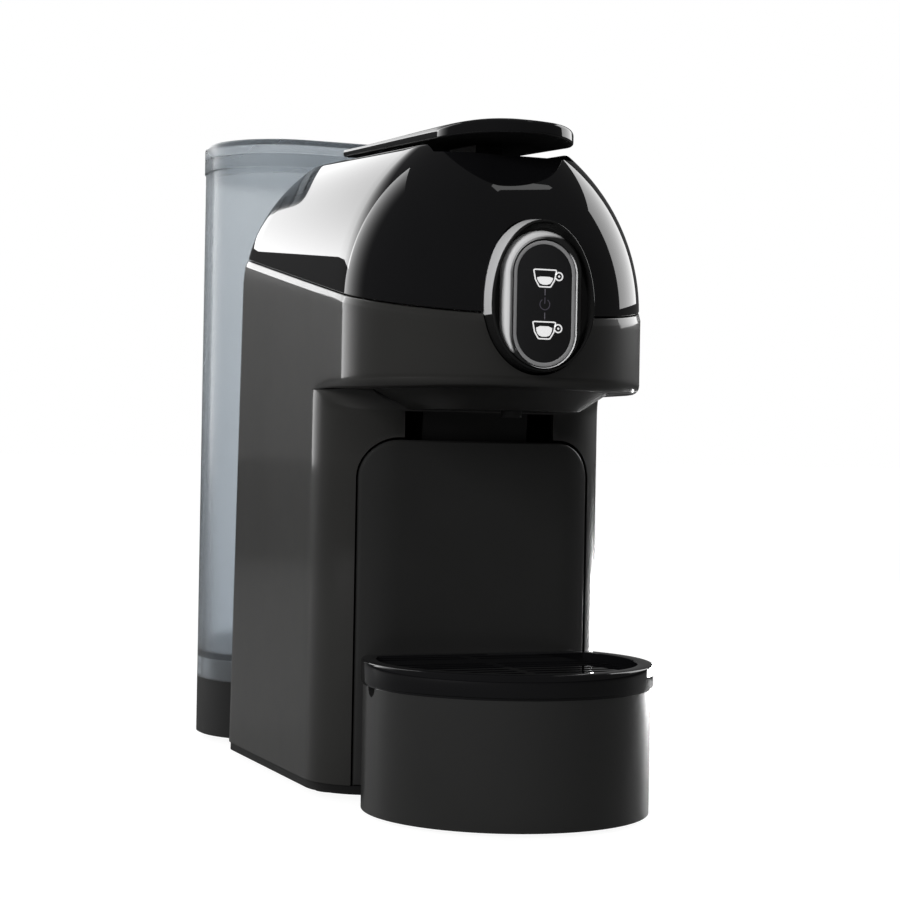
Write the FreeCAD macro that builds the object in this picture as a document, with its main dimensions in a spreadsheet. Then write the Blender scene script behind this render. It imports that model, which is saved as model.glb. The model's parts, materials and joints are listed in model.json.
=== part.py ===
import FreeCAD, Part
import math
import os
import types

from Sketcher import Constraint as Sketcher_constraint

# Capsule coffee machine: column with a domed head, closing lever, rocker button,
# drip tray drawer and lift-off water tank. Millimetres, +Z up, front towards -Y.
# The origin is on the table, in the middle of the footprint.

Vector = FreeCAD.Vector

SIZES = [
    # name, size, what it is
    ("body_half_width", 62.0, "column and head, middle to side"),
    ("column_front_y", -74.5, "front face of the column"),
    ("column_corner", 28.0, "plan radius of the column's front corners"),
    ("body_rear_y", 79.0, "rear face of column and head"),
    ("rear_corner", 20.0, "plan radius of the rear corners at the bottom"),
    ("rear_corner_top", 31.2, "plan radius of the rear corners where the dome starts"),
    ("head_front_y", -129.0, "front face of the head"),
    ("head_corner", 50.0, "plan radius of the head's front corners"),
    ("head_bottom_z", 161.7, "underside of the head"),
    ("head_edge_radius", 3.5, "rounding of the head's lower edge"),
    ("armpit_radius", 8.0, "blend between column and head"),
    ("shell_wall", 2.5, "wall of the outer mouldings"),
    ("dome_start_z", 191.0, "height where the dome begins to curve, at the front"),
    ("dome_start_slope", 0.096, "rise per length of that line towards the rear"),
    ("dome_radius", 83.0, "side profile radius of the dome"),
    ("deck_rise", 60.0, "deck above the start of the dome"),
    ("deck_slope", 0.06, "rise per length of the deck towards the rear"),
    ("shoulder_rise", 4.0, "ridges beside the lever, above the deck"),
    ("channel_gap", 1.8, "ridges beside the lever, from its plate"),
    ("channel_rear_y", 40.0, "rear end of the lever's channel in the dome"),
    ("deck_edge", 1.2, "bevel round the top of the dome"),
    ("rear_tightening", 0.73, "how fast the dome's rear corners tighten with its inset"),
    ("seam_front_z", 189.2, "joint between housing and top cover, at the front"),
    ("seam_slope", 0.176, "rise per length of that joint towards the rear"),
    ("seam_gap", 0.5, "shadow line between housing and top cover"),
    ("cover_inset", 0.6, "top cover set back behind the housing's edge"),
    ("foot_height", 3.0, "rubber foot below the base"),
    ("foot_radius", 8.0, "rubber foot"),
    ("foot_stem_radius", 2.4, "stem of a foot in the base plate"),
    ("foot_edge", 16.0, "feet under the column, in from the side"),
    ("foot_front_y", -38.0, "front pair of feet"),
    ("foot_rear_y", 60.0, "rear pair of feet under the column"),
    ("foot_tank_x", 32.0, "feet under the tank, from the middle"),
    ("foot_tank_y", 136.0, "feet under the tank"),
    ("base_thickness", 3.5, "base plate"),
    ("base_inset", 0.8, "base plate set back from the column"),
    ("fit_gap", 0.3, "clearance between fixed mouldings"),
    ("run_gap", 0.05, "radial clearance of a pin in its bore"),
    ("slide_gap", 0.5, "clearance beside sliding pieces"),
    ("screw_radius", 1.5, "case screws"),
    ("screw_head_radius", 3.0, "heads of the case screws"),
    ("screw_head_height", 1.8, "heads of the case screws"),
    ("screw_length", 12.0, "case screws, under the head"),
    ("screw_sink", 1.0, "screw heads let into the rear cover"),
    ("screw_edge", 3.5, "screws of the rear cover from its edges"),
    ("post_radius", 5.0, "screw posts inside the housing"),
    ("post_height", 16.0, "screw posts inside the housing"),
    ("post_edge", 7.0, "screw posts, in from the side"),
    ("post_front_y", -38.0, "front screw posts"),
    ("post_rear_y", 48.0, "rear screw posts"),
    # drawer
    ("tray_centre_y", -105.0, "middle of the round drip tray and of the spout"),
    ("tray_radius", 55.2, "matt base of the drip tray"),
    ("tray_bottom_z", 1.5, "underside of the drip tray"),
    ("tray_top_z", 49.0, "rim of the drip tray"),
    ("tray_wall", 2.5, "walls of the drip tray"),
    ("notch_radius", 3.4, "finger notch in the tray's rim"),
    ("ring_radius", 56.0, "gloss ring on the tray"),
    ("ring_shadow", 0.9, "shadow line under the ring"),
    ("ring_height", 8.4, "gloss ring"),
    ("ring_land", 6.0, "top face of the ring"),
    ("ledge_width", 3.0, "ledge inside the ring that carries the grid"),
    ("ledge_drop", 5.3, "ledge below the ring's top"),
    ("grid_thickness", 2.5, "drip grid"),
    ("grid_slot_width", 3.4, "slots of the drip grid"),
    ("grid_slot_pitch", 7.2, "slots of the drip grid"),
    ("door_half_width", 49.2, "drawer front, middle to edge"),
    ("door_bottom_z", 6.8, "drawer front"),
    ("door_top_z", 142.3, "drawer front"),
    ("door_corner", 15.0, "top corners of the drawer front"),
    ("door_gap", 1.0, "shadow line round the drawer front"),
    ("carrier_half_width", 46.0, "floor of the drawer inside the column"),
    ("carrier_rear_gap", 3.0, "drawer in front of the bulkhead"),
    ("carrier_thickness", 2.5, "floor of the drawer"),
    ("carrier_rim", 8.0, "locating rim round the capsule bin"),
    ("rail_width", 2.0, "guide rails of the drawer on the base plate"),
    ("rail_height", 6.0, "guide rails of the drawer on the base plate"),
    ("tongue_half_width", 39.0, "link between drip tray and drawer floor"),
    ("bin_half_width", 43.5, "capsule bin"),
    ("bin_set_back", 2.7, "capsule bin behind the drawer front"),
    ("bin_top_z", 135.0, "capsule bin"),
    ("bin_wall", 1.8, "capsule bin"),
    ("bin_corner", 9.0, "plan radius of the capsule bin"),
    # head underside
    ("recess_half_width", 32.0, "dark recess over the drawer front"),
    ("recess_top_z", 153.6, "dark recess over the drawer front"),
    ("canopy_half_width", 46.0, "insert in the head's underside, upper end"),
    ("canopy_front_set", 6.0, "insert behind the head's front"),
    ("canopy_corner", 36.0, "insert, upper end"),
    ("canopy_low_half_width", 31.0, "insert, lower end"),
    ("canopy_low_front_y", -109.5, "insert, lower end"),
    ("canopy_low_corner", 12.0, "insert, lower end"),
    ("canopy_low_z", 154.2, "insert, lower end"),
    ("canopy_wall", 2.0, "insert"),
    ("canopy_flange", 4.0, "rim of the insert on the head's floor"),
    # rear cover and gland
    ("cover_half_width", 30.5, "rear cover"),
    ("cover_bottom_z", 10.0, "rear cover"),
    ("cover_top_z", 204.0, "rear cover"),
    ("cover_lip", 5.0, "ledge behind the rear cover"),
    ("vent_width", 44.0, "vent slots of the rear cover"),
    ("vent_height", 2.6, "vent slots of the rear cover"),
    ("vent_pitch", 7.0, "vent slots of the rear cover"),
    ("vent_first_z", 150.0, "lowest vent slot"),
    ("gland_edge", 15.0, "cable gland, in from the side"),
    ("gland_z", 20.0, "cable gland in the rear wall"),
    ("gland_radius", 4.4, "neck of the cable gland"),
    ("gland_flange_radius", 6.0, "flanges of the cable gland"),
    ("gland_bore_radius", 3.3, "cable hole"),
    ("gland_proud", 3.4, "gland behind the housing"),
    # control panel
    ("egg_half_width", 21.8, "egg-shaped control panel"),
    ("egg_centre_z", 192.8, "widest height of the control panel"),
    ("egg_rise", 33.0, "control panel above its widest height"),
    ("egg_drop", 25.5, "control panel below its widest height"),
    ("egg_proud", 5.0, "control panel in front of the head"),
    ("egg_flare", 1.0, "control panel wider at its root"),
    ("egg_depth", 10.5, "control panel, front to back"),
    ("egg_wall", 0.8, "rim of the control panel"),
    ("egg_dish", 3.5, "face of the panel sunk behind its rim"),
    ("rocker_centre_z", 193.6, "rocker button"),
    ("rocker_half_width", 12.6, "rocker button"),
    ("rocker_half_height", 23.45, "rocker button"),
    ("rocker_thickness", 6.0, "rocker button"),
    ("rocker_trim_width", 1.5, "bright trim round the rocker"),
    ("rocker_trim_depth", 1.6, "bright trim round the rocker"),
    ("rocker_gap", 0.4, "black gap round the rocker"),
    ("rocker_pin_radius", 1.5, "pivot of the rocker"),
    ("rocker_pin_reach", 1.6, "pivot of the rocker in its bearing"),
    ("surround_wall", 0.6, "raised surround of the rocker, at its face"),
    ("surround_flare", 3.0, "surround wider at its root"),
    ("surround_depth", 9.8, "raised surround of the rocker"),
    ("surround_proud", 0.3, "surround in front of the panel's rim"),
    ("board_thickness", 1.6, "control board"),
    ("board_half_width", 15.0, "control board"),
    ("board_bottom_z", 172.0, "control board"),
    ("board_top_z", 216.0, "control board"),
    ("switch_size", 6.0, "small switches under the rocker"),
    ("switch_offset", 15.0, "small switches, above and below the pivot"),
    ("switch_height", 3.5, "small switches under the rocker"),
    # lever
    ("lever_half_width", 28.0, "closing lever"),
    ("lever_front_y", -119.0, "tip of the closing lever"),
    ("lever_rear_y", 19.0, "rear end of the lever's plate"),
    ("lever_gap", 5.4, "finger gap between lever and deck"),
    ("lever_front_thickness", 4.4, "edge of the lever's plate at its tip"),
    ("lever_rear_thickness", 3.1, "edge of the lever's plate at its rear end"),
    ("lever_tip_crown", 2.4, "middle of the lever's plate above its edge, at the tip"),
    ("lever_crown", 5.0, "the same where the tip's round begins"),
    ("lever_rear_crown", 0.6, "the same at the rear end"),
    ("lever_pivot_y", 24.0, "hinge of the lever"),
    ("lever_pivot_drop", 6.5, "hinge of the lever below the deck"),
    ("lever_pin_radius", 2.2, "hinge pin of the lever"),
    ("crank_length", 26.0, "lever hinge to crank pin"),
    ("crank_angle_deg", 37.5, "crank behind straight down, half the lever's travel"),
    ("crank_pin_radius", 3.0, "crank pin"),
    ("crank_arm_x", 20.0, "middle of the lever's two arms"),
    ("crank_arm_thickness", 4.0, "lever arms"),
    ("arm_boss_radius", 5.0, "eyes of the lever arms"),
    ("arm_slot_front_y", 3.0, "slots of the deck for the lever arms"),
    ("arm_slot_rear_y", 37.0, "slots of the deck for the lever arms"),
    ("plug_half_width", 18.4, "pad that closes the capsule slot"),
    ("plug_above", 1.0, "pad above the deck"),
    ("plug_below", 2.0, "pad below the deck"),
    ("plug_neck_half_width", 5.7, "rib between pad and lever"),
    ("plug_clear", 0.8, "play of the pad in the deck"),
    # brew group
    ("slot_half_width", 19.0, "capsule slot"),
    ("slot_front_y", -78.5, "capsule slot"),
    ("slot_rear_y", -49.5, "capsule slot"),
    ("guide_wall", 2.0, "funnel below the capsule slot"),
    ("brew_z", 207.0, "axis of the brewing chamber"),
    ("brew_face_y", -48.2, "seal of the brewing chamber"),
    ("carriage_radius", 22.0, "moving capsule holder"),
    ("carriage_length", 33.7, "moving capsule holder"),
    ("cavity_radius", 18.0, "capsule holder's cavity"),
    ("cavity_depth", 27.7, "capsule holder's cavity"),
    ("outlet_radius", 1.5, "coffee outlet of the capsule holder"),
    ("carriage_travel", 31.65, "way of the capsule holder"),
    ("yoke_gap", 2.0, "pulling arms beside the lever's arms"),
    ("yoke_thickness", 4.0, "pulling arms of the capsule holder"),
    ("yoke_bar_height", 12.0, "pulling arms of the capsule holder"),
    ("yoke_slot_play", 0.7, "crank pin in the slot of a pulling arm, each side"),
    ("yoke_top_wall", 3.9, "pulling arms above their slot"),
    ("guide_pin_radius", 2.9, "guide pins of the capsule holder"),
    ("guide_pin_front_y", -66.0, "front guide pins"),
    ("guide_pin_rear_y", -54.0, "rear guide pins"),
    ("cheek_gap", 3.0, "side cheeks beside the pulling arms"),
    ("cheek_thickness", 3.0, "side cheeks of the brew frame"),
    ("cheek_front_y", -106.0, "side cheeks of the brew frame"),
    ("cheek_rear_y", 48.0, "side cheeks of the brew frame"),
    ("cheek_over", 1.6, "side cheeks above the capsule holder"),
    ("frame_floor", 3.0, "floor of the brew frame"),
    ("ear_radius", 3.7, "bearings of the lever hinge"),
    ("ear_drop", 10.7, "foot of the lever hinge's bearings below the hinge"),
    ("water_head_radius", 21.0, "water head"),
    ("water_head_length", 10.0, "water head"),
    ("gasket_radius", 20.5, "seal of the water head"),
    ("gasket_bore", 17.2, "seal of the water head"),
    ("gasket_depth", 2.0, "seal of the water head"),
    ("needle_radius", 1.0, "piercing needles of the water head"),
    ("needle_length", 6.0, "piercing needles of the water head"),
    ("needle_circle", 9.0, "piercing needles of the water head"),
    ("head_bar_depth", 5.0, "cross bars that carry the water head"),
    # chassis
    ("chassis_z", 178.0, "chassis plate"),
    ("chassis_thickness", 3.0, "chassis plate"),
    ("chassis_side_gap", 3.0, "chassis plate inside the housing"),
    ("chassis_front_gap", 9.5, "chassis plate behind the head's wall"),
    ("chassis_rear_gap", 4.5, "chassis plate in front of the rear wall"),
    ("bulkhead_y", 14.0, "upright wall of the chassis behind the drawer"),
    ("bulkhead_thickness", 3.0, "upright wall of the chassis behind the drawer"),
    ("funnel_half_width", 12.0, "coffee funnel"),
    ("funnel_front_y", -114.0, "coffee funnel"),
    ("funnel_gap", 0.2, "coffee funnel in front of the chute"),
    ("funnel_bottom_z", 168.0, "coffee funnel"),
    ("funnel_wall", 1.6, "coffee funnel"),
    ("spout_radius", 4.0, "coffee spout"),
    ("spout_bore", 2.1, "coffee spout"),
    ("spout_bottom_z", 151.5, "coffee spout"),
    ("spout_collar_radius", 6.0, "coffee spout"),
    ("chute_over", 3.0, "capsule chute above the bin"),
    ("drop_front_y", -74.4, "hole that used capsules fall through"),
    ("drop_rear_y", -45.0, "hole that used capsules fall through"),
    ("drop_half_width", 21.0, "hole that used capsules fall through"),
    ("chute_shift", 8.0, "lower end of the chute further to the rear"),
    ("chute_knee_shift", 4.5, "knee of the chute further to the rear"),
    ("chute_knee_z", 166.4, "knee of the chute"),
    ("chute_wall", 1.6, "capsule chute"),
    # water circuit
    ("boiler_left_edge", 26.0, "boiler, in from the left side"),
    ("boiler_right_edge", 48.0, "boiler, in from the right side"),
    ("boiler_front_y", 24.0, "boiler"),
    ("boiler_rear_y", 68.0, "boiler"),
    ("boiler_bottom_z", 124.0, "boiler"),
    ("boiler_top_z", 168.0, "boiler"),
    ("boiler_edge", 5.0, "rounding of the boiler"),
    ("inlet_z", 150.0, "inlet of the boiler"),
    ("stub_radius", 3.0, "hose stubs"),
    ("stub_length", 6.0, "hose stubs"),
    ("outlet_y", 60.0, "outlet of the boiler"),
    ("element_radius", 3.0, "heating element"),
    ("element_rear_y", 66.0, "heating element"),
    ("element_bend_y", 36.0, "heating element"),
    ("element_bend", 12.0, "heating element"),
    ("thermostat_radius", 7.0, "thermostat"),
    ("thermostat_in", 12.0, "thermostat, in from the boiler's left face"),
    ("thermostat_y", 40.0, "thermostat"),
    ("thermostat_height", 6.0, "thermostat"),
    ("strap_thickness", 2.0, "boiler straps"),
    ("strap_front_y", 50.0, "boiler straps"),
    ("strap_rear_y", 66.0, "boiler straps"),
    ("strap_bottom_z", 136.0, "boiler straps"),
    ("pump_edge", 34.0, "pump, in from the side"),
    ("pump_y", 44.0, "pump"),
    ("pump_radius", 9.0, "pump cylinder"),
    ("pump_bottom_z", 28.0, "pump cylinder"),
    ("pump_top_z", 102.0, "pump cylinder"),
    ("pump_bore", 5.0, "pump cylinder"),
    ("piston_radius", 4.95, "pump piston"),
    ("piston_bottom_z", 56.0, "pump piston"),
    ("piston_length", 22.0, "pump piston"),
    ("spring_wire", 0.6, "pump spring"),
    ("spring_turns", 6.0, "pump spring"),
    ("coil_radius", 19.0, "pump coil"),
    ("coil_bottom_z", 42.0, "pump coil"),
    ("coil_top_z", 80.0, "pump coil"),
    ("shelf_thickness", 3.0, "pump shelves of the chassis"),
    ("shelf_low_z", 31.0, "lower pump shelf"),
    ("shelf_high_z", 92.0, "upper pump shelf"),
    ("shelf_rear_y", 62.0, "pump shelves"),
    ("mount_radius", 13.0, "rubber mounts of the pump in their shelves"),
    ("mount_flange_radius", 16.0, "rubber mounts of the pump"),
    ("mount_flange", 3.0, "rubber mounts of the pump"),
    ("meter_x", 0.0, "flow meter"),
    ("meter_radius", 10.0, "flow meter"),
    ("meter_top_z", 24.0, "flow meter"),
    ("low_hose_z", 15.0, "hoses at the bottom"),
    ("hose_radius", 3.0, "water hoses"),
    ("hose_bore", 1.6, "water hoses"),
    ("hose_bend", 6.0, "least bend of the water hoses"),
    ("power_left_x", -52.0, "power board"),
    ("power_right_x", -4.0, "power board"),
    ("power_bottom_z", 58.0, "power board"),
    ("power_top_z", 112.0, "power board"),
    ("power_spacer", 3.0, "spacers of the power board"),
    # tank
    ("tank_half_width", 60.0, "water tank"),
    ("tank_gap", 2.0, "water tank behind the body"),
    ("tank_depth", 79.4, "water tank"),
    ("tank_corner", 38.0, "plan radius of the water tank"),
    ("tank_wall", 2.2, "water tank"),
    ("tank_bottom_z", 29.0, "water tank"),
    ("tank_floor_z", 38.6, "floor of the tank above its skirt"),
    ("tank_floor", 2.6, "floor of the tank"),
    ("tank_rim_z", 268.6, "rim band of the tank"),
    ("tank_rim_height", 6.4, "rim band of the tank"),
    ("tank_rim_proud", 0.6, "rim band of the tank"),
    ("lid_height", 6.5, "tank lid"),
    ("lid_edge", 2.0, "rounding of the tank lid"),
    ("lid_skirt", 9.0, "tank lid inside the tank"),
    ("seat_wall", 3.0, "tank seat"),
    ("plinth_height", 9.0, "raised middle of the tank seat"),
    ("seat_post_radius", 6.0, "posts of the tank seat on the base plate"),
    ("seat_post_x", 34.0, "front posts of the tank seat, from the middle"),
    ("seat_post_y", 99.0, "front posts of the tank seat"),
    ("seat_rear_post_x", 14.0, "rear posts of the tank seat, from the middle"),
    ("seat_rear_post_y", 142.0, "rear posts of the tank seat"),
    ("tail_half_width", 46.0, "base plate under the tank"),
    ("tail_rear_y", 150.0, "base plate under the tank"),
    ("port_y", 121.0, "water port"),
    ("port_radius", 10.0, "water port"),
    ("port_bore", 8.0, "water port"),
    ("port_flange_radius", 13.0, "water port"),
    ("valve_radius", 6.0, "tank valve"),
    ("valve_flange_radius", 7.6, "tank valve inside the tank"),
    ("valve_flange", 1.6, "tank valve inside the tank"),
    ("valve_drop", 6.0, "tank valve below the tank's floor"),
    ("seal_wire", 1.9, "sealing ring of the port"),
    ("seal_z", 35.6, "sealing ring of the port"),
    ("filter_radius", 9.0, "filter in the tank"),
    ("filter_height", 8.0, "filter in the tank"),
    ("filter_wall", 0.8, "filter in the tank"),
]


class Size:
    """A size of the sheet, or a sum or product of such sizes: its number and its formula."""

    def __init__(self, value, text):
        self.value = value
        self.text = text

    def __add__(self, other):
        other = as_size(other)
        return Size(self.value + other.value, f"({self.text} + {other.text})")

    def __sub__(self, other):
        other = as_size(other)
        return Size(self.value - other.value, f"({self.text} - {other.text})")

    def __mul__(self, other):
        other = as_size(other)
        return Size(self.value * other.value, f"({self.text} * {other.text})")

    def __truediv__(self, other):
        other = as_size(other)
        return Size(self.value / other.value, f"({self.text} / {other.text})")

    def __radd__(self, other):
        return as_size(other) + self

    def __rsub__(self, other):
        return as_size(other) - self

    def __rmul__(self, other):
        return as_size(other) * self

    def __neg__(self):
        return as_size(0) - self


def as_size(number):
    """A plain number as a Size, so that both can stand in one formula."""
    if isinstance(number, Size):
        return number
    return Size(float(number), f"({number})")


def write_sheet(doc):
    """The sheet of driving sizes, and the same sizes for use in formulas."""
    sheet = doc.addObject("Spreadsheet::Sheet", "Sizes")
    sizes = types.SimpleNamespace()
    for row, (name, value, meaning) in enumerate(SIZES, start=1):
        sheet.set(f"A{row}", meaning)
        sheet.set(f"B{row}", str(value))
        sheet.setAlias(f"B{row}", name)
        setattr(sizes, name, Size(float(value), f"Sizes.{name}"))
    doc.recompute()
    return sizes


doc = FreeCAD.newDocument("capsule_machine")
s = write_sheet(doc)
nodes = []


def keep(thing, label):
    """Mark an object as a finished sub-part and give it the sub-part's name."""
    thing.Label = label
    nodes.append(thing)
    return thing


def tie(thing, name, size):
    """Bind a property to a formula of the sheet's sizes."""
    thing.setExpression(name, as_size(size).text)


def place(thing, x=0, y=0, z=0):
    """Bind an object's position to formulas."""
    for axis, size in (("x", x), ("y", y), ("z", z)):
        tie(thing, f"Placement.Base.{axis}", size)
    return thing


def box(name, x, y, z):
    """A block from three pairs of limits."""
    thing = doc.addObject("Part::Box", name)
    tie(thing, "Length", as_size(x[1]) - x[0])
    tie(thing, "Width", as_size(y[1]) - y[0])
    tie(thing, "Height", as_size(z[1]) - z[0])
    return place(thing, x[0], y[0], z[0])


TURNS = {
    "x": FreeCAD.Rotation(Vector(0, 1, 0), 90),
    "y": FreeCAD.Rotation(Vector(1, 0, 0), -90),
    "z": FreeCAD.Rotation(),
}


def rod(name, radius, x, y, z):
    """A cylinder: the pair among the three limits is its length, the others are its axis."""
    thing = doc.addObject("Part::Cylinder", name)
    spans = {"x": x, "y": y, "z": z}
    axis = next(key for key, span in spans.items() if isinstance(span, tuple))
    low, high = spans[axis]
    spans[axis] = low
    thing.Placement.Rotation = TURNS[axis]
    tie(thing, "Radius", radius)
    tie(thing, "Height", as_size(high) - low)
    return place(thing, spans["x"], spans["y"], spans["z"])


def join(name, *things):
    """One solid of several that overlap or touch."""
    thing = doc.addObject("Part::MultiFuse", name)
    thing.Shapes = list(things)
    thing.Refine = True
    return thing


def trim(name, base, *tools):
    """The base with the tools cut away."""
    thing = doc.addObject("Part::Cut", name)
    thing.Base = base
    thing.Tool = tools[0] if len(tools) == 1 else join(name + "_cuts", *tools)
    return thing


def ring(name, outer, inner, x, y, z):
    """A tube between two radii."""
    return trim(name, rod(name + "_out", outer, x, y, z), rod(name + "_in", inner, x, y, z))


def group(name, things):
    """Several loose solids that share one node."""
    thing = doc.addObject("Part::Compound", name)
    thing.Links = things
    return thing


def outline(name, half_width, front, rear, front_radius, rear_radius, z=0):
    """Sketch of a rectangle with rounded corners in plan, mirrored about the middle."""
    sketch = doc.addObject("Sketcher::SketchObject", name)
    half, depth = as_size(half_width), as_size(rear) - front
    near, far = as_size(front_radius), as_size(rear_radius)
    w, d, a, b = half.value, depth.value, near.value, far.value
    line = lambda x0, y0, x1, y1: Part.LineSegment(Vector(x0, y0, 0), Vector(x1, y1, 0))
    arc = lambda x, y, r, start: Part.ArcOfCircle(
        Part.Circle(Vector(x, y, 0), Vector(0, 0, 1), r), math.radians(start), math.radians(start + 90)
    )
    sketch.addGeometry(
        [
            line(-w + a, 0, w - a, 0),
            arc(w - a, a, a, 270),
            line(w, a, w, d - b),
            arc(w - b, d - b, b, 0),
            line(w - b, d, -w + b, d),
            arc(-w + b, d - b, b, 90),
            line(-w, d - b, -w, a),
            arc(-w + a, a, a, 180),
        ],
        False,
    )
    bond = Sketcher_constraint
    sketch.addConstraint([bond("Tangent", i, 2, (i + 1) % 8, 1) for i in range(8)])
    sketch.addConstraint([bond("Horizontal", 0), bond("Horizontal", 4)])
    sketch.addConstraint([bond("Vertical", 2), bond("Vertical", 6)])
    sketch.addConstraint([bond("Equal", 1, 7), bond("Equal", 3, 5), bond("PointOnObject", 0, 1, -1)])
    for kind, size in (
        (("DistanceX", -1, 1, 2, 1), half),
        (("DistanceX", 6, 1, -1, 1), half),
        (("DistanceY", -1, 1, 4, 1), depth),
        (("Radius", 1), near),
        (("Radius", 3), far),
    ):
        index = sketch.addConstraint(bond(*kind, size.value))
        tie(sketch, f"Constraints[{index}]", size)
    return place(sketch, 0, front, z)


def slab(name, half_width, y, radii, z):
    """A plate or block with rounded corners in plan."""
    sketch = outline(name + "_sketch", half_width, y[0], y[1], radii[0], radii[1], z[0])
    thing = doc.addObject("Part::Extrusion", name)
    thing.Base = sketch
    thing.DirMode = "Custom"
    thing.Dir = Vector(0, 0, 1)
    thing.Solid = True
    tie(thing, "LengthFwd", as_size(z[1]) - z[0])
    return thing


def solid(name, shape):
    """An object for a shape that sketches and primitives don't give."""
    thing = doc.addObject("Part::Feature", name)
    thing.Shape = shape
    return thing


# Outer mouldings

n = types.SimpleNamespace(**{name: float(value) for name, value, meaning in SIZES})
FAR = 400.0


def plan_wire(half_width, front, rear, front_radius, rear_radius, height=0.0):
    """Closed outline in plan with straight sides and quarter-round corners."""
    corners = [
        (half_width - front_radius, front + front_radius, front_radius, -90),
        (half_width - rear_radius, rear - rear_radius, rear_radius, 0),
        (-half_width + rear_radius, rear - rear_radius, rear_radius, 90),
        (-half_width + front_radius, front + front_radius, front_radius, 180),
    ]
    edges = []
    last = None
    for x, y, radius, start in corners:
        circle = Part.Circle(Vector(x, y, height), Vector(0, 0, 1), radius)
        arc = Part.ArcOfCircle(circle, math.radians(start), math.radians(start + 90)).toShape()
        ends = [vertex.Point for vertex in arc.Vertexes]
        if last is not None:
            edges.append(Part.makeLine(last, ends[0]))
        edges.append(arc)
        last = ends[1]
    edges.append(Part.makeLine(last, edges[0].Vertexes[0].Point))
    return Part.Wire(edges)


def prism(wire, low, high):
    """A flat outline carried straight up between two heights."""
    moved = wire.copy()
    moved.translate(Vector(0, 0, low))
    return Part.Face(moved).extrude(Vector(0, 0, high - low))


def sloping_block(height, slope, above):
    """Everything above or below a plane that rises towards the rear from the head's front."""
    block = Part.makeBox(2 * FAR, 2 * FAR, FAR, Vector(-FAR, -FAR, 0 if above else -FAR))
    block.rotate(Vector(), Vector(1, 0, 0), math.degrees(math.atan(slope)))
    block.translate(Vector(0, n.head_front_y, height))
    return block


def dome_inset(rise, inside):
    """How far the dome has drawn in at a height, on its circular side profile."""
    radius = n.dome_radius - inside
    return n.dome_radius - math.sqrt(radius**2 - rise**2)


def tilted(wire, rise):
    """A flat outline moved onto the plane that belongs to a rise above the dome's start line."""
    part_way = rise / n.deck_rise
    slope = n.dome_start_slope + part_way * (n.deck_slope - n.dome_start_slope)
    height = n.dome_start_z + rise - slope * n.head_front_y
    lift = FreeCAD.Matrix(1, 0, 0, 0, 0, 1, 0, 0, 0, slope, 1, height, 0, 0, 0, 1)
    return wire.transformGeometry(lift)


def dome_section(rise, inside, extra=0.0):
    """Outline of the dome at a height, on a plane that tilts from the start line to the deck."""
    inset = dome_inset(rise, inside) + extra
    wire = plan_wire(
        n.body_half_width - inset,
        n.head_front_y + inset,
        n.body_rear_y - inset,
        n.head_corner - inset,
        n.rear_corner_top - inside - n.rear_tightening * (inset - inside),
    )
    return tilted(wire, rise)


def dome(inside, rise):
    """Solid dome up to a rise above its start line, drawn in by a wall or a step."""
    top = rise - inside - n.deck_edge
    steps = 7
    sections = [dome_section(top * step / steps, inside) for step in range(steps + 1)]
    body = Part.makeLoft(sections, True, False)
    rim = dome_section(top + n.deck_edge, inside, n.deck_edge)
    return body.fuse(Part.makeLoft([sections[-1], rim], True, True))


def taper(inside):
    """Everything between the side and rear faces; its rear corners widen up to the dome's start."""
    half, rear = n.body_half_width - inside, n.body_rear_y - inside
    low = plan_wire(half, -FAR, rear, 1, n.rear_corner - inside)
    high = plan_wire(half, -FAR, rear, 1, n.rear_corner_top - inside)
    return Part.makeLoft([low, tilted(high, 0)], True, True)


def channel(wall):
    """Space over the deck that the lever closes into, widened by the deck's wall for its inside."""
    half = n.lever_half_width + n.channel_gap + wall
    rear = n.channel_rear_y + wall
    space = Part.makeBox(2 * half, FAR + rear, FAR, Vector(-half, -FAR, 0))
    return space.common(sloping_block(n.dome_start_z + n.deck_rise - wall, n.deck_slope, True))


def head_prism(inside, bottom):
    """The head's straight lower part, up to the dome's start line."""
    wire = plan_wire(
        n.body_half_width - inside,
        n.head_front_y + inside,
        n.body_rear_y - inside,
        n.head_corner - inside,
        0.5 * n.rear_corner,
    )
    return prism(wire, bottom, FAR).common(sloping_block(n.dome_start_z, n.dome_start_slope, False))


def column_prism(inside, bottom, top):
    """The column in plan."""
    wire = plan_wire(
        n.body_half_width - inside,
        n.column_front_y + inside,
        n.body_rear_y - inside,
        n.column_corner - inside,
        0.5 * n.rear_corner,
    )
    return prism(wire, bottom, top)


def egg(extra, front, depth):
    """Egg-shaped prism along Y: a tall half ellipse over a shorter one."""
    half = n.egg_half_width + extra
    up = Part.Ellipse(Vector(0, n.egg_rise + extra, 0), Vector(half, 0, 0), Vector())
    down = Part.Ellipse(Vector(0, -n.egg_drop - extra, 0), Vector(half, 0, 0), Vector())
    quarter = math.pi / 2
    edges = [Part.ArcOfEllipse(curve, -quarter, quarter).toShape() for curve in (up, down)]
    wire = Part.Wire(Part.__sortEdges__(edges))
    wire.rotate(Vector(), Vector(1, 0, 0), 90)
    wire.translate(Vector(0, front, n.egg_centre_z))
    return wire if depth == 0 else Part.Face(wire).extrude(Vector(0, depth, 0))


def arch(half, low, high, corner, front, rear):
    """Block along Y with its two top corners rounded, for the drawer front and its opening."""
    block = Part.makeBox(2 * half, rear - front, high - low, Vector(-half, front, low))
    tall = [
        edge
        for edge in block.Edges
        if abs(edge.CenterOfMass.z - high) < 0.01 and abs(abs(edge.CenterOfMass.x) - half) < 0.01
    ]
    return block.makeFillet(corner, tall) if corner > 0 else block


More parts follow.
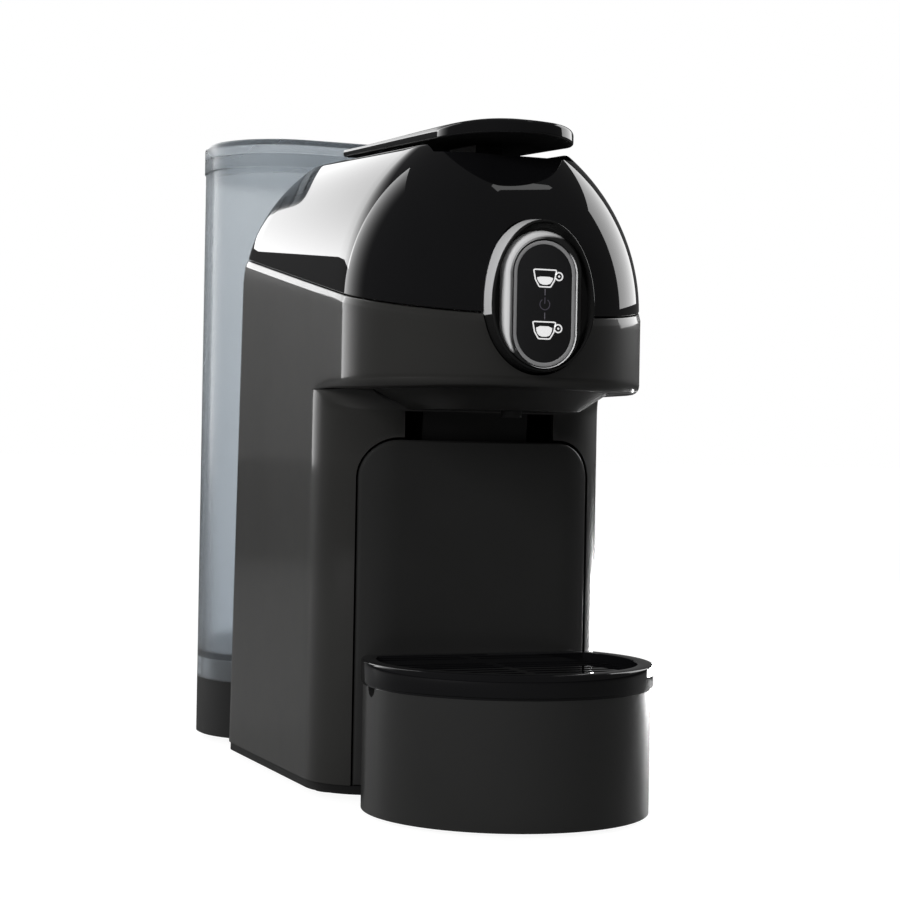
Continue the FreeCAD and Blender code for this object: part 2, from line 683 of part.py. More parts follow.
def armpit():
    """Concave blend that widens the column's front towards the head's underside."""
    sections = []
    for step in range(5):
        turn = math.radians(90 * step / 4)
        reach = n.armpit_radius * (1 - math.cos(turn))
        height = n.head_bottom_z - n.armpit_radius * (1 - math.sin(turn))
        corner = n.column_corner + reach
        front = n.column_front_y - reach
        wire = plan_wire(n.body_half_width, front, n.body_rear_y, corner, 0.5 * n.rear_corner, height)
        sections.append(wire)
    return Part.makeLoft(sections, True, False)


def housing_envelope():
    """Column and head as one solid, with the blend under the head and its rounded lower edge."""
    head = head_prism(0, n.head_bottom_z)
    low = [edge for edge in head.Edges if edge.BoundBox.ZMax < n.head_bottom_z + 0.01]
    head = head.makeFillet(n.head_edge_radius, low)
    column = column_prism(0, n.foot_height + n.base_thickness, n.head_bottom_z + n.armpit_radius)
    body = column.fuse([armpit(), head]).common(taper(0))
    return body.fuse(dome(0, n.deck_rise)).removeSplitter()


def seam_block(above, shift=0.0):
    """The space above or below the joint between housing and top cover."""
    return sloping_block(n.seam_front_z + shift, n.seam_slope, above)


def deck_height(y):
    """Upper face of the deck at a place along the machine."""
    return n.dome_start_z + n.deck_rise + n.deck_slope * (y - n.head_front_y)


def opening(half, low, high, corner, rear):
    """An arched opening cut from the front."""
    return arch(half, low, high, corner, -FAR, rear)


def rear_block(half, low, high, front):
    """A block that reaches out through the rear wall."""
    return Part.makeBox(2 * half, FAR, high - low, Vector(-half, front, low))


def tube_at(radius, start, direction, length):
    """A round hole or pin."""
    return Part.makeCylinder(radius, length, Vector(*start), Vector(*direction))


def mirrored(shape):
    """A shape and its copy on the other side of the middle."""
    return [shape, shape.mirror(Vector(), Vector(1, 0, 0))]


case_floor = n.foot_height + n.base_thickness
cover_screws = [
    (side * (n.cover_half_width - n.screw_edge), z)
    for side in (-1, 1)
    for z in (n.cover_bottom_z + n.screw_edge, n.cover_top_z - n.screw_edge)
]


def make_housing():
    """One moulding: column, sides and lower half of the head, with all its openings."""
    wall = n.shell_wall
    inner = column_prism(wall, 0, n.head_bottom_z + 2 * wall).fuse(head_prism(wall, n.head_bottom_z + wall))
    inner = inner.common(taper(wall)).fuse(dome(wall, n.deck_rise))
    shape = housing_envelope().cut(inner)
    shape = shape.common(seam_block(False))
    door = n.door_half_width + n.door_gap
    deep = n.column_front_y + 2 * n.column_corner
    gland_x = n.body_half_width - n.gland_edge
    through_y = n.body_rear_y - 4 * wall
    cuts = [
        opening(door, 0, n.door_top_z + n.door_gap, n.door_corner + n.door_gap, deep),
        opening(n.recess_half_width, n.door_top_z, n.recess_top_z, 0, n.column_front_y + 3 * wall),
        rear_block(n.cover_half_width + n.fit_gap, n.cover_bottom_z, n.cover_top_z, n.body_rear_y - wall),
        egg(n.fit_gap, n.head_front_y - n.egg_proud, n.egg_depth + 2 * n.egg_proud),
        canopy_hole(),
        tube_at(n.gland_radius + n.fit_gap, (gland_x, through_y, n.gland_z), (0, 1, 0), 8 * wall),
    ]
    window = rear_block(
        n.cover_half_width - n.cover_lip,
        n.cover_bottom_z + n.cover_lip,
        n.cover_top_z - n.cover_lip,
        n.body_rear_y - 4 * wall,
    )
    lip_front = n.body_rear_y - 2 * wall
    lip = Part.makeBox(
        2 * (n.cover_half_width + n.cover_lip),
        wall,
        n.cover_top_z - n.cover_bottom_z + 2 * n.cover_lip - wall,
        Vector(-n.cover_half_width - n.cover_lip, lip_front, n.cover_bottom_z - n.cover_lip + wall),
    ).cut(window)
    shape = shape.cut(cuts)
    additions = [lip]
    post_x = n.body_half_width - n.post_edge
    for y in (n.post_front_y, n.post_rear_y):
        post = tube_at(n.post_radius, (post_x, y, case_floor), (0, 0, 1), n.post_height)
        bore_top = case_floor + n.screw_length
        bore = tube_at(n.screw_radius + n.run_gap, (post_x, y, 0), (0, 0, 1), bore_top)
        additions += mirrored(post.cut(bore))
    inside = column_prism(0, 0, FAR).common(taper(0))
    shape = shape.fuse([extra.common(inside) for extra in additions])
    holes = []
    for x, z in cover_screws:
        holes.append(tube_at(n.screw_radius + n.run_gap, (x, lip_front - 1, z), (0, 1, 0), 4 * wall))
    hose = n.hose_radius + 4 * n.fit_gap
    holes.append(tube_at(hose, (0, lip_front - 1, n.low_hose_z), (0, 1, 0), 4 * wall))
    return shape.cut(holes).removeSplitter()


def canopy_wire(half, front, corner, height):
    """Outline of the insert under the head at one height."""
    rear = n.column_front_y - n.fit_gap
    return plan_wire(half, front, rear, corner, n.canopy_wall, height)


def canopy_hole():
    """Opening in the head's floor that the insert hangs through."""
    gap = n.fit_gap
    front = n.head_front_y + n.canopy_front_set - gap
    wire = canopy_wire(n.canopy_half_width + gap, front, n.canopy_corner, 0)
    return prism(wire, n.head_bottom_z - 1, n.head_bottom_z + n.shell_wall + 1)


def canopy_loft(wall):
    """The insert's bowl, from the head's floor down to its low face."""
    front = n.head_front_y + n.canopy_front_set + wall
    top = canopy_wire(n.canopy_half_width - wall, front, n.canopy_corner - wall, n.head_bottom_z)
    low_front = n.canopy_low_front_y + wall
    low_corner = n.canopy_low_corner - wall
    low_z = n.canopy_low_z + wall
    low = canopy_wire(n.canopy_low_half_width - wall, low_front, low_corner, low_z)
    return Part.makeLoft([low, top], True, True)


def make_canopy():
    """Dark insert in the head's underside: it slopes down to the spout and the recess."""
    wall = n.canopy_wall
    front = n.head_front_y + n.canopy_front_set
    floor_top = n.head_bottom_z + n.shell_wall
    outer = canopy_wire(n.canopy_half_width, front, n.canopy_corner, 0)
    inner = canopy_wire(n.canopy_half_width - wall, front + wall, n.canopy_corner - wall, 0)
    rim_front = front - n.canopy_flange
    rim_half = n.canopy_half_width + n.canopy_flange
    rim = canopy_wire(rim_half, rim_front, n.canopy_corner + n.canopy_flange, 0)
    plates = [prism(outer, n.head_bottom_z, floor_top), prism(rim, floor_top, floor_top + wall)]
    shape = canopy_loft(0).fuse(plates)
    hole = tube_at(n.spout_radius + n.fit_gap, (0, n.tray_centre_y, 0), (0, 0, 1), FAR)
    shape = shape.cut([canopy_loft(wall), prism(inner, n.head_bottom_z, FAR), hole, armpit()])
    return shape.common(head_prism(n.shell_wall + n.fit_gap, 0))


def make_top_cover():
    """Gloss dome with the capsule slot and the slots of the lever's arms in its deck."""
    step = n.cover_inset
    outer = head_prism(step, n.head_bottom_z).common(taper(step))
    outer = outer.fuse(dome(step, n.deck_rise + n.shoulder_rise)).cut(channel(0))
    wall = n.shell_wall
    inner = head_prism(wall, 0).common(taper(wall)).fuse(dome(wall, n.deck_rise))
    shape = outer.cut(inner).common(seam_block(True, n.seam_gap))
    gap = n.plug_clear
    slot = Part.makeBox(
        2 * (n.plug_half_width + gap),
        n.slot_rear_y - n.slot_front_y + gap,
        n.deck_rise,
        Vector(-n.plug_half_width - gap, n.slot_front_y - 0.5 * gap, n.dome_start_z + 0.5 * n.deck_rise),
    )
    arm_half = 0.5 * n.crank_arm_thickness + n.slide_gap
    arm_slot = Part.makeBox(
        2 * arm_half,
        n.arm_slot_rear_y - n.arm_slot_front_y,
        n.deck_rise,
        Vector(n.crank_arm_x - arm_half, n.arm_slot_front_y, n.dome_start_z + 0.5 * n.deck_rise),
    )
    panel = egg(n.fit_gap, n.head_front_y - n.egg_proud, n.egg_depth + 4 * n.egg_proud)
    return shape.cut([slot, panel] + mirrored(arm_slot)).removeSplitter()


def make_rear_cover():
    """Flat service cover in the rear wall, with vents, screw holes and a hole for the hose."""
    wall, gap = n.shell_wall, n.fit_gap
    shape = Part.makeBox(
        2 * n.cover_half_width,
        wall,
        n.cover_top_z - n.cover_bottom_z - 2 * gap,
        Vector(-n.cover_half_width, n.body_rear_y - wall, n.cover_bottom_z + gap),
    )
    count = int((n.cover_top_z - n.cover_lip - n.vent_first_z) / n.vent_pitch)
    cuts = []
    for index in range(count):
        low = n.vent_first_z + index * n.vent_pitch
        corner = Vector(-0.5 * n.vent_width, n.body_rear_y - 2 * wall, low)
        cuts.append(Part.makeBox(n.vent_width, 3 * wall, n.vent_height, corner))
    through_y = n.body_rear_y - 4 * wall
    seat_y = n.body_rear_y - n.screw_sink
    for x, z in cover_screws:
        cuts.append(tube_at(n.screw_radius + n.run_gap, (x, through_y, z), (0, 1, 0), 8 * wall))
        cuts.append(tube_at(n.screw_head_radius + n.run_gap, (x, seat_y, z), (0, 1, 0), 4 * wall))
    hose = tube_at(n.hose_radius + 4 * gap, (0, through_y, n.low_hose_z), (0, 1, 0), 8 * wall)
    return shape.cut(cuts + [hose])


keep(solid("Housing", make_housing()), "main_housing")
keep(solid("Canopy", make_canopy()), "spout_canopy")
keep(solid("TopCover", make_top_cover()), "top_cover")
keep(solid("RearCover", make_rear_cover()), "rear_cover")


# Base and feet

foot_x = s.body_half_width - s.foot_edge
foot_spots = [
    (foot_x, s.foot_front_y),
    (-foot_x, s.foot_front_y),
    (foot_x, s.foot_rear_y),
    (-foot_x, s.foot_rear_y),
    (s.foot_tank_x, s.foot_tank_y),
    (-s.foot_tank_x, s.foot_tank_y),
]
floor = s.foot_height + s.base_thickness
tank_front = s.body_rear_y + s.tank_gap
tank_rear = tank_front + s.tank_depth
post_x = s.body_half_width - s.post_edge
posts = [(side * post_x, y) for side in (-1, 1) for y in (s.post_front_y, s.post_rear_y)]
seat_posts = [
    (side * x, y)
    for side in (-1, 1)
    for x, y in ((s.seat_post_x, s.seat_post_y), (s.seat_rear_post_x, s.seat_rear_post_y))
]

feet = []
for index, (x, y) in enumerate(foot_spots):
    disc = rod(f"foot_{index}", s.foot_radius, x, y, (0, s.foot_height))
    stem = rod(f"stem_{index}", s.foot_stem_radius, x, y, (s.foot_height, floor))
    feet.append(join(f"footed_{index}", disc, stem))
keep(group("Feet", feet), "rubber_feet")

base_half = s.body_half_width - s.base_inset
base_y = (s.column_front_y + s.base_inset, s.body_rear_y - s.base_inset)
base_radii = (s.column_corner - s.base_inset, s.rear_corner - s.base_inset)
plate = slab("base_column", base_half, base_y, base_radii, (s.foot_height, floor))
tail_y = (s.body_rear_y - s.rear_corner, s.tail_rear_y)
tail = slab("base_tail", s.tail_half_width, tail_y, (s.foot_radius, s.rear_corner), (s.foot_height, floor))
carrier_low = s.door_bottom_z
rails = []
for side in (-1, 1):
    near = s.carrier_half_width + s.slide_gap
    far = near + s.rail_width
    x = (near, far) if side > 0 else (-far, -near)
    rear_y = s.bulkhead_y - s.fit_gap
    rail_y = (s.column_front_y + s.column_corner, rear_y)
    rails.append(box(f"rail_{side + 1}", x, rail_y, (floor, floor + s.rail_height)))
base_solid = join("base_solid", plate, tail, *rails)
base_holes = [
    rod(f"foot_hole_{index}", s.foot_stem_radius + s.run_gap, x, y, (0, floor + 1))
    for index, (x, y) in enumerate(foot_spots)
]
for index, (x, y) in enumerate(posts + seat_posts):
    base_holes.append(rod(f"base_hole_{index}", s.screw_radius + s.run_gap, x, y, (0, floor + 1)))
    head = (0, s.foot_height + s.screw_head_height)
    base_holes.append(rod(f"base_sink_{index}", s.screw_head_radius + s.run_gap, x, y, head))
keep(trim("BasePlate", base_solid, *base_holes), "base_plate")


def screws(name, label, spots, seat, reach):
    """Cap screws that point up, with their heads below a seat height."""
    made = []
    for index, (x, y) in enumerate(spots):
        head = rod(f"{name}_head_{index}", s.screw_head_radius, x, y, (seat - s.screw_head_height, seat))
        shank = rod(f"{name}_shank_{index}", s.screw_radius, x, y, (seat, seat + reach))
        made.append(join(f"{name}_{index}", head, shank))
    return keep(group(name, made), label)


screws("BaseScrews", "base_screws", posts + seat_posts, s.foot_height + s.screw_head_height, s.screw_length)

# Drawer: drip tray, front panel and capsule bin

tray_y = s.tray_centre_y
column_guard = slab(
    "column_guard",
    s.body_half_width,
    (s.column_front_y - s.fit_gap / 2, s.body_rear_y),
    (s.column_corner, s.rear_corner),
    (-10, 200),
)
inner_guard = slab(
    "inner_guard",
    s.body_half_width,
    (s.column_front_y - s.fit_gap / 2 - s.tray_wall, s.body_rear_y),
    (s.column_corner, s.rear_corner),
    (-10, 200),
)
tray_round = rod("tray_round", s.tray_radius, 0, tray_y, (s.tray_bottom_z, s.tray_top_z))
tray_out = trim("tray_out", tray_round, column_guard)
tray_floor = s.tray_bottom_z + s.tray_wall
tray_hole = rod("tray_hole", s.tray_radius - s.tray_wall, 0, tray_y, (tray_floor, s.tray_top_z + 1))
tray_in = trim("tray_in", tray_hole, inner_guard)
notches = rod("tray_notches", s.notch_radius, (-s.tray_radius - 5, s.tray_radius + 5), tray_y, s.tray_top_z)
tray = trim("tray_cup", tray_out, tray_in, notches)
door_back = s.column_front_y + s.shell_wall
carrier_rear = s.bulkhead_y - s.carrier_rear_gap
carrier_top = carrier_low + s.carrier_thickness
carrier = slab(
    "carrier_plate",
    s.carrier_half_width,
    (door_back, carrier_rear),
    (s.bin_corner, s.bin_corner / 2),
    (carrier_low, carrier_top),
)
bin_front = door_back + s.bin_set_back
bin_rear = carrier_rear - (s.carrier_half_width - s.bin_half_width)
rim_out = slab(
    "carrier_rim_out",
    s.carrier_half_width,
    (bin_front - s.slide_gap, carrier_rear),
    (s.bin_corner, s.bin_corner),
    (carrier_top, carrier_top + s.carrier_rim),
)
rim_in = slab(
    "carrier_rim_in",
    s.bin_half_width + s.fit_gap,
    (bin_front - 2 * s.bin_corner, bin_rear + s.fit_gap),
    (s.bin_corner, s.bin_corner),
    (carrier_top, carrier_top + s.carrier_rim),
)
tongue_y = (s.column_front_y - s.tray_wall, door_back + s.tray_wall)
tongue = box("tongue", (-s.tongue_half_width, s.tongue_half_width), tongue_y, (carrier_low, carrier_top))
keep(join("DrawerBody", tray, carrier, trim("carrier_rim", rim_out, rim_in), tongue), "drip_tray_drawer")
keep(
    trim(
        "CapsuleBin",
        slab(
            "bin_out",
            s.bin_half_width,
            (bin_front, bin_rear),
            (s.bin_corner, s.bin_corner),
            (carrier_top, s.bin_top_z),
        ),
        slab(
            "bin_in",
            s.bin_half_width - s.bin_wall,
            (bin_front + s.bin_wall, bin_rear - s.bin_wall),
            (s.bin_corner - s.bin_wall, s.bin_corner - s.bin_wall),
            (carrier_top + s.bin_wall, s.bin_top_z + 1),
        ),
    ),
    "capsule_bin",
)


def make_drawer_front():
    """Panel that follows the column's front, with rounded top corners and a notch for the tongue."""
    skin = column_prism(0, 0, FAR).cut(column_prism(n.shell_wall, 0, FAR))
    rear = n.column_front_y + n.column_corner
    panel = skin.common(arch(n.door_half_width, n.door_bottom_z, n.door_top_z, n.door_corner, -FAR, rear))
    half = n.tongue_half_width + n.fit_gap
    high = n.carrier_thickness + n.fit_gap
    notch = Part.makeBox(2 * half, 100, high, Vector(-half, n.column_front_y - 50, n.door_bottom_z))
    wide = n.carrier_half_width + n.fit_gap
    behind = n.column_front_y + n.shell_wall
    return panel.cut([notch, Part.makeBox(2 * wide, 100, high, Vector(-wide, behind, n.door_bottom_z))])


keep(solid("DrawerFront", make_drawer_front()), "drawer_front")

ring_low = s.tray_top_z + s.ring_shadow
ring_top = ring_low + s.ring_height
ledge_z = ring_top - s.ledge_drop
ring_guard_y = s.column_front_y - s.slide_gap


def d_disc(name, radius, back_set, z):
    """A round plate cut off straight where the column stands."""
    guard_x = (-2 * s.ring_radius, 2 * s.ring_radius)
    guard = box(name + "_guard", guard_x, (ring_guard_y - back_set, 0), (-1, 100))
    return trim(name, rod(name + "_round", radius, 0, tray_y, z), guard)


ring_inner = s.ring_radius - s.ring_land
skirt_radius = s.tray_radius - s.tray_wall - s.fit_gap
skirt_z = (s.tray_top_z - 3, s.tray_top_z)
ring_body = join(
    "ring_body",
    d_disc("ring_band", s.ring_radius, 0, (ring_low, ring_top)),
    d_disc("ring_neck", s.tray_radius - s.fit_gap, 0, (s.tray_top_z, ring_low)),
    d_disc("ring_skirt", skirt_radius, s.tray_wall + s.fit_gap, skirt_z),
)
keep(
    trim(
        "DripRing",
        ring_body,
        d_disc("ring_well", ring_inner, s.ring_land, (ledge_z, ring_top + 1)),
        d_disc("ring_bore", ring_inner - s.ledge_width, s.ring_land + s.ledge_width, (0, ring_top + 1)),
    ),
    "drip_ring",
)
grid_y = (tray_y - s.ring_radius, tray_y + s.ring_radius)
grid_cuts = []
rows = int(0.75 * n.ring_radius / n.grid_slot_pitch)
for index in range(-rows, rows + 1):
    y = tray_y + index * s.grid_slot_pitch
    if y.value > n.column_front_y - n.ring_land - 2 * n.grid_slot_width:
        continue
    half = math.sqrt((n.ring_radius - n.ring_land - 5) ** 2 - (y.value - n.tray_centre_y) ** 2)
    for side in (-1, 1):
        x = (2.0, half) if side > 0 else (-half, -2.0)
        slot_y = (y - s.grid_slot_width / 2, y + s.grid_slot_width / 2)
        grid_cuts.append(box(f"grid_slot_{index + rows}_{side + 1}", x, slot_y, (ledge_z - 1, ring_top)))
grid_z = (ledge_z, ledge_z + s.grid_thickness)
grid_disc = d_disc("grid_disc", ring_inner - s.fit_gap, s.ring_land + s.fit_gap, grid_z)
keep(trim("DripGrid", grid_disc, *grid_cuts), "drip_grid")


# Control panel


def pill(radius, low, high, front, rear):
    """Upright slot-shaped block along Y."""
    start = Vector(-radius, front, low + radius)
    middle = Part.makeBox(2 * radius, rear - front, high - low - 2 * radius, start)
    ends = [tube_at(radius, (0, front, z), (0, 1, 0), rear - front) for z in (low + radius, high - radius)]
    return middle.fuse(ends).removeSplitter()


panel_face = n.head_front_y - n.egg_proud
rocker_low = n.rocker_centre_z - n.rocker_half_height
rocker_high = n.rocker_centre_z + n.rocker_half_height
surround_edge = n.rocker_gap + n.surround_wall
root_radius = n.rocker_half_width + surround_edge + n.surround_flare
root_low = rocker_low - surround_edge
root_high = rocker_high + surround_edge + n.surround_flare
dish_floor = panel_face + n.egg_dish
bearing_y = panel_face + 0.5 * n.rocker_thickness


def make_control_panel():
    """Egg-shaped boss on the head: flared side, fine rim, dished face and a slot-shaped hole."""
    rear = panel_face + n.egg_depth
    shape = Part.makeLoft([egg(-n.egg_flare, panel_face, 0), egg(0, rear - 1, 0)], True, True)
    shape = shape.fuse(egg(0, rear - 1, 1))
    dish = egg(-n.egg_flare - n.egg_wall, panel_face - 1, n.egg_dish + 1)
    gap = n.fit_gap / 3
    return shape.cut([dish, pill(root_radius + gap, root_low - gap, root_high + gap, panel_face, rear + 1)])


def pill_wire(radius, low, high, y):
    """Outline of an upright slot shape."""
    shape = pill(radius, low, high, y, y + 1)
    face = next(item for item in shape.Faces if abs(item.CenterOfMass.y - y) < 0.01)
    return face.OuterWire


def make_surround():
    """Raised frame round the rocker: flared at the sides and the top, with the rocker's bearings."""
    front = panel_face - n.surround_proud
    small = pill_wire(n.rocker_half_width + surround_edge, root_low, rocker_high + surround_edge, front)
    large = pill_wire(root_radius, root_low, root_high, dish_floor)
    rear = front + n.surround_depth
    root = pill(root_radius, root_low, root_high, dish_floor, rear)
    shape = Part.makeLoft([small, large], True, True).fuse(root)
    gap = n.rocker_gap
    hole = pill(n.rocker_half_width + gap, rocker_low - gap, rocker_high + gap, front - 1, rear + 1)
    reach = n.rocker_half_width + n.rocker_pin_reach + gap
    start = (-reach, bearing_y, n.rocker_centre_z)
    bearing = tube_at(n.rocker_pin_radius + n.run_gap, start, (1, 0, 0), 2 * reach)
    return shape.cut([hole, bearing])


def make_rocker():
    """Slot-shaped rocker with a rebate for its trim and two short pivots."""
    trim_y = panel_face + n.rocker_trim_depth
    inner = n.rocker_half_width - n.rocker_trim_width
    low, high = rocker_low + n.rocker_trim_width, rocker_high - n.rocker_trim_width
    shape = pill(inner, low, high, panel_face, trim_y)
    rear = panel_face + n.rocker_thickness
    shape = shape.fuse(pill(n.rocker_half_width, rocker_low, rocker_high, trim_y, rear))
    reach = n.rocker_half_width + n.rocker_pin_reach
    pivot = tube_at(n.rocker_pin_radius, (-reach, bearing_y, n.rocker_centre_z), (1, 0, 0), 2 * reach)
    return shape.fuse(pivot).cut(make_rocker_trim())


def make_rocker_trim():
    """Bright frame let into the rocker's edge."""
    inner = n.rocker_half_width - n.rocker_trim_width + n.run_gap
    low = rocker_low + n.rocker_trim_width - n.run_gap
    high = rocker_high - n.rocker_trim_width + n.run_gap
    rear = panel_face + n.rocker_trim_depth
    outer = pill(n.rocker_half_width, rocker_low, rocker_high, panel_face, rear)
    return outer.cut(pill(inner, low, high, panel_face, rear))


keep(solid("ControlPanel", make_control_panel()), "control_panel")
keep(solid("Surround", make_surround()), "rocker_surround")
keep(solid("Rocker", make_rocker()), "rocker_button")
keep(solid("RockerTrim", make_rocker_trim()), "rocker_trim")
board_front = s.head_front_y - s.egg_proud + s.egg_depth
board_x = (-s.board_half_width, s.board_half_width)
board_y = (board_front, board_front + s.board_thickness)
keep(box("ControlBoard", board_x, board_y, (s.board_bottom_z, s.board_top_z)), "control_board")
switches = []
for side in (-1, 1):
    middle = s.rocker_centre_z + side * s.switch_offset
    half = s.switch_size / 2
    switch_y = (board_front - s.switch_height, board_front)
    case = box(f"switch_{side + 1}", (-half, half), switch_y, (middle - half, middle + half))
    switches.append(case)
keep(group("Switches", switches), "micro_switches")

# Closing lever

pivot_y = n.lever_pivot_y
pivot_z = deck_height(pivot_y) - n.lever_pivot_drop
crank_turn = math.radians(n.crank_angle_deg)
crank_y = pivot_y + n.crank_length * math.sin(crank_turn)
crank_z = pivot_z - n.crank_length * math.cos(crank_turn)
lever_low = n.dome_start_z + n.deck_rise + n.lever_gap


def lever_outline():
    """Plan of the lever's plate: straight sides, a half-round tip and a straight rear end."""
    half, centre = n.lever_half_width, n.lever_front_y + n.lever_half_width
    right, left, front = Vector(half, centre, 0), Vector(-half, centre, 0), Vector(0, n.lever_front_y, 0)
    rear = n.lever_rear_y
    sides = Part.makePolygon([left, Vector(-half, rear, 0), Vector(half, rear, 0), right])
    return Part.Wire([Part.Arc(right, front, left).toShape()] + sides.Edges)


def lever_section(y, crown):
    """Cross section of the lever's plate: a flat underside and a top that rises to the middle."""
    half = n.lever_half_width
    narrowing = (n.lever_front_thickness - n.lever_rear_thickness) / (n.lever_rear_y - n.lever_front_y)
    low = lever_low + n.deck_slope * (y - n.head_front_y)
    edge = low + n.lever_front_thickness - narrowing * (y - n.lever_front_y)
    left, right = Vector(-half, y, edge), Vector(half, y, edge)
    top = Part.Arc(left, Vector(0, y, edge + crown), right).toShape()
    rest = Part.makePolygon([right, Vector(half, y, low), Vector(-half, y, low), left])
    return Part.Wire([top] + rest.Edges)


def lever_arm():
    """Bell crank in side view: foot under the plate, eye at the hinge and eye at the crank pin."""
    boss, drop = n.arm_boss_radius, n.lever_pivot_drop + n.lever_gap
    high = pivot_z + drop
    points = [
        (n.lever_rear_y - 4 * boss, high),
        (n.lever_rear_y, high),
        (pivot_y + 0.8 * boss, pivot_z + 0.5 * boss),
        (crank_y + boss * math.cos(crank_turn), crank_z + boss * math.sin(crank_turn)),
        (crank_y - boss * math.cos(crank_turn), crank_z - boss * math.sin(crank_turn)),
        (pivot_y - 0.9 * boss, pivot_z - 0.9 * boss),
        (pivot_y - 2.4 * boss, pivot_z + 0.6 * boss),
    ]
    left = n.crank_arm_x - 0.5 * n.crank_arm_thickness
    corners = [Vector(left, y, z) for y, z in points]
    plate = Part.Face(Part.makePolygon(corners + corners[:1])).extrude(Vector(n.crank_arm_thickness, 0, 0))
    centres = ((left, pivot_y, pivot_z), (left, crank_y, crank_z))
    eyes = [tube_at(boss, centre, (1, 0, 0), n.crank_arm_thickness) for centre in centres]
    return plate.fuse(eyes)


def make_lever():
    """Lever plate above the deck with two arms that pass through it to the hinge and the crank pin."""
    sections = [
        lever_section(n.lever_front_y, n.lever_tip_crown),
        lever_section(n.lever_front_y + n.lever_half_width, n.lever_crown),
        lever_section(0.5 * (n.lever_front_y + n.lever_rear_y), 0.5 * (n.lever_crown + n.lever_rear_crown)),
        lever_section(n.lever_rear_y, n.lever_rear_crown),
    ]
    plate = Part.makeLoft(sections, True, False).common(prism(lever_outline(), 0, FAR))
    arms = [arm.cut(sloping_block(lever_low + 1, n.deck_slope, True)) for arm in mirrored(lever_arm())]
    bores = [
        tube_at(n.lever_pin_radius + n.run_gap, (-FAR, pivot_y, pivot_z), (1, 0, 0), 2 * FAR),
        tube_at(n.crank_pin_radius, (-FAR, crank_y, crank_z), (1, 0, 0), 2 * FAR),
    ]
    return plate.fuse(arms).cut(bores).removeSplitter()


def make_plug():
    """Sealing pad that closes the capsule slot, with the rib that hangs it under the lever."""
    deck = n.dome_start_z + n.deck_rise
    length = n.slot_rear_y - n.slot_front_y
    pad = Part.makeBox(2 * n.plug_half_width, length, FAR, Vector(-n.plug_half_width, n.slot_front_y, 0))
    pad = pad.common(sloping_block(deck - n.plug_below, n.deck_slope, True))
    pad = pad.common(sloping_block(deck + n.plug_above, n.deck_slope, False))
    neck_half = n.plug_neck_half_width
    neck = Part.makeBox(2 * neck_half, length - 1, FAR, Vector(-neck_half, n.slot_front_y, 0))
    neck = neck.common(sloping_block(deck, n.deck_slope, True))
    return pad.fuse(neck.common(sloping_block(lever_low, n.deck_slope, False))).removeSplitter()


arm_outer = s.crank_arm_x + s.crank_arm_thickness / 2
yoke_in = arm_outer + s.yoke_gap
yoke_out = yoke_in + s.yoke_thickness
cheek_in = yoke_out + s.cheek_gap
cheek_out = cheek_in + s.cheek_thickness
keep(solid("Lever", make_lever()), "closing_lever")
keep(solid("Plug", make_plug()), "slot_plug")
pin_reach = yoke_out + 0.5
keep(rod("CrankPin", s.crank_pin_radius, (-pin_reach, pin_reach), crank_y, crank_z), "crank_pin")
hinge_reach = yoke_out
keep(rod("LeverPin", s.lever_pin_radius, (-hinge_reach, hinge_reach), pivot_y, pivot_z), "lever_pin")

# Brew group: frame, water head, moving capsule holder, guide, funnel and chute

chassis_top = s.chassis_z + s.chassis_thickness
cheek_top = s.brew_z + s.carriage_radius + s.cheek_over
head_face = s.brew_face_y + s.gasket_depth
head_back = head_face + s.water_head_length
crank_low = pivot_z - n.crank_length
cheek_z = (chassis_top, cheek_top)
cheek_y = (s.cheek_front_y, s.cheek_rear_y)
frame_top = chassis_top + s.frame_floor


def both_sides(name, near, far, y, z):
    """The same block at the right and at the left."""
    return [box(f"{name}_right", (near, far), y, z), box(f"{name}_left", (-far, -near), y, z)]


bar_y = (head_back, head_back + s.head_bar_depth)
bar_x = (-cheek_in, cheek_in)
bar_clear = s.yoke_bar_height / 2 + 3 * s.slide_gap
ear_y = (pivot_y - s.ear_radius, pivot_y + s.ear_radius)
ear_x = yoke_in + s.cheek_thickness
ear_foot = pivot_z - s.ear_drop
frame_parts = [
    box("frame_floor", (-cheek_out, cheek_out), cheek_y, (chassis_top, frame_top)),
    *both_sides("cheek", cheek_in, cheek_out, cheek_y, cheek_z),
    box("head_bar_low", bar_x, bar_y, (chassis_top, s.brew_z - bar_clear)),
    box("head_bar_high", bar_x, bar_y, (s.brew_z + bar_clear, s.brew_z + s.water_head_radius)),
    *both_sides("tower", cheek_in, cheek_out, (pivot_y - 10, pivot_y + 10), (cheek_top, ear_foot + 3)),
    *both_sides("ear_foot", yoke_in, cheek_out, ear_y, (ear_foot, ear_foot + 3)),
    *both_sides("ear", yoke_in, ear_x, ear_y, (ear_foot, pivot_z)),
    rod("ear_eye_right", s.ear_radius, (yoke_in, ear_x), pivot_y, pivot_z),
    rod("ear_eye_left", s.ear_radius, (-ear_x, -yoke_in), pivot_y, pivot_z),
]
pin_slot_y = (
    s.guide_pin_front_y - s.carriage_travel - s.guide_pin_radius - s.slide_gap,
    s.guide_pin_rear_y + s.guide_pin_radius + s.slide_gap,
)
pin_slot_half = s.guide_pin_radius + s.run_gap
pin_slot_z = (s.brew_z - pin_slot_half, s.brew_z + pin_slot_half)
frame_cuts = [
    box(
        "drop_hole",
        (-s.drop_half_width, s.drop_half_width),
        (s.cheek_front_y + s.frame_floor, s.drop_rear_y),
        (0, frame_top),
    ),
    *both_sides("pin_slot", cheek_in, cheek_out, pin_slot_y, pin_slot_z),
    rod("ear_bore", s.lever_pin_radius + s.run_gap, (-cheek_out, cheek_out), pivot_y, pivot_z),
]
frame_screw_y = (s.cheek_front_y + 8, s.cheek_rear_y - 6)
frame_screws = [(side * (cheek_in - 4), y) for side in (-1, 1) for y in frame_screw_y]
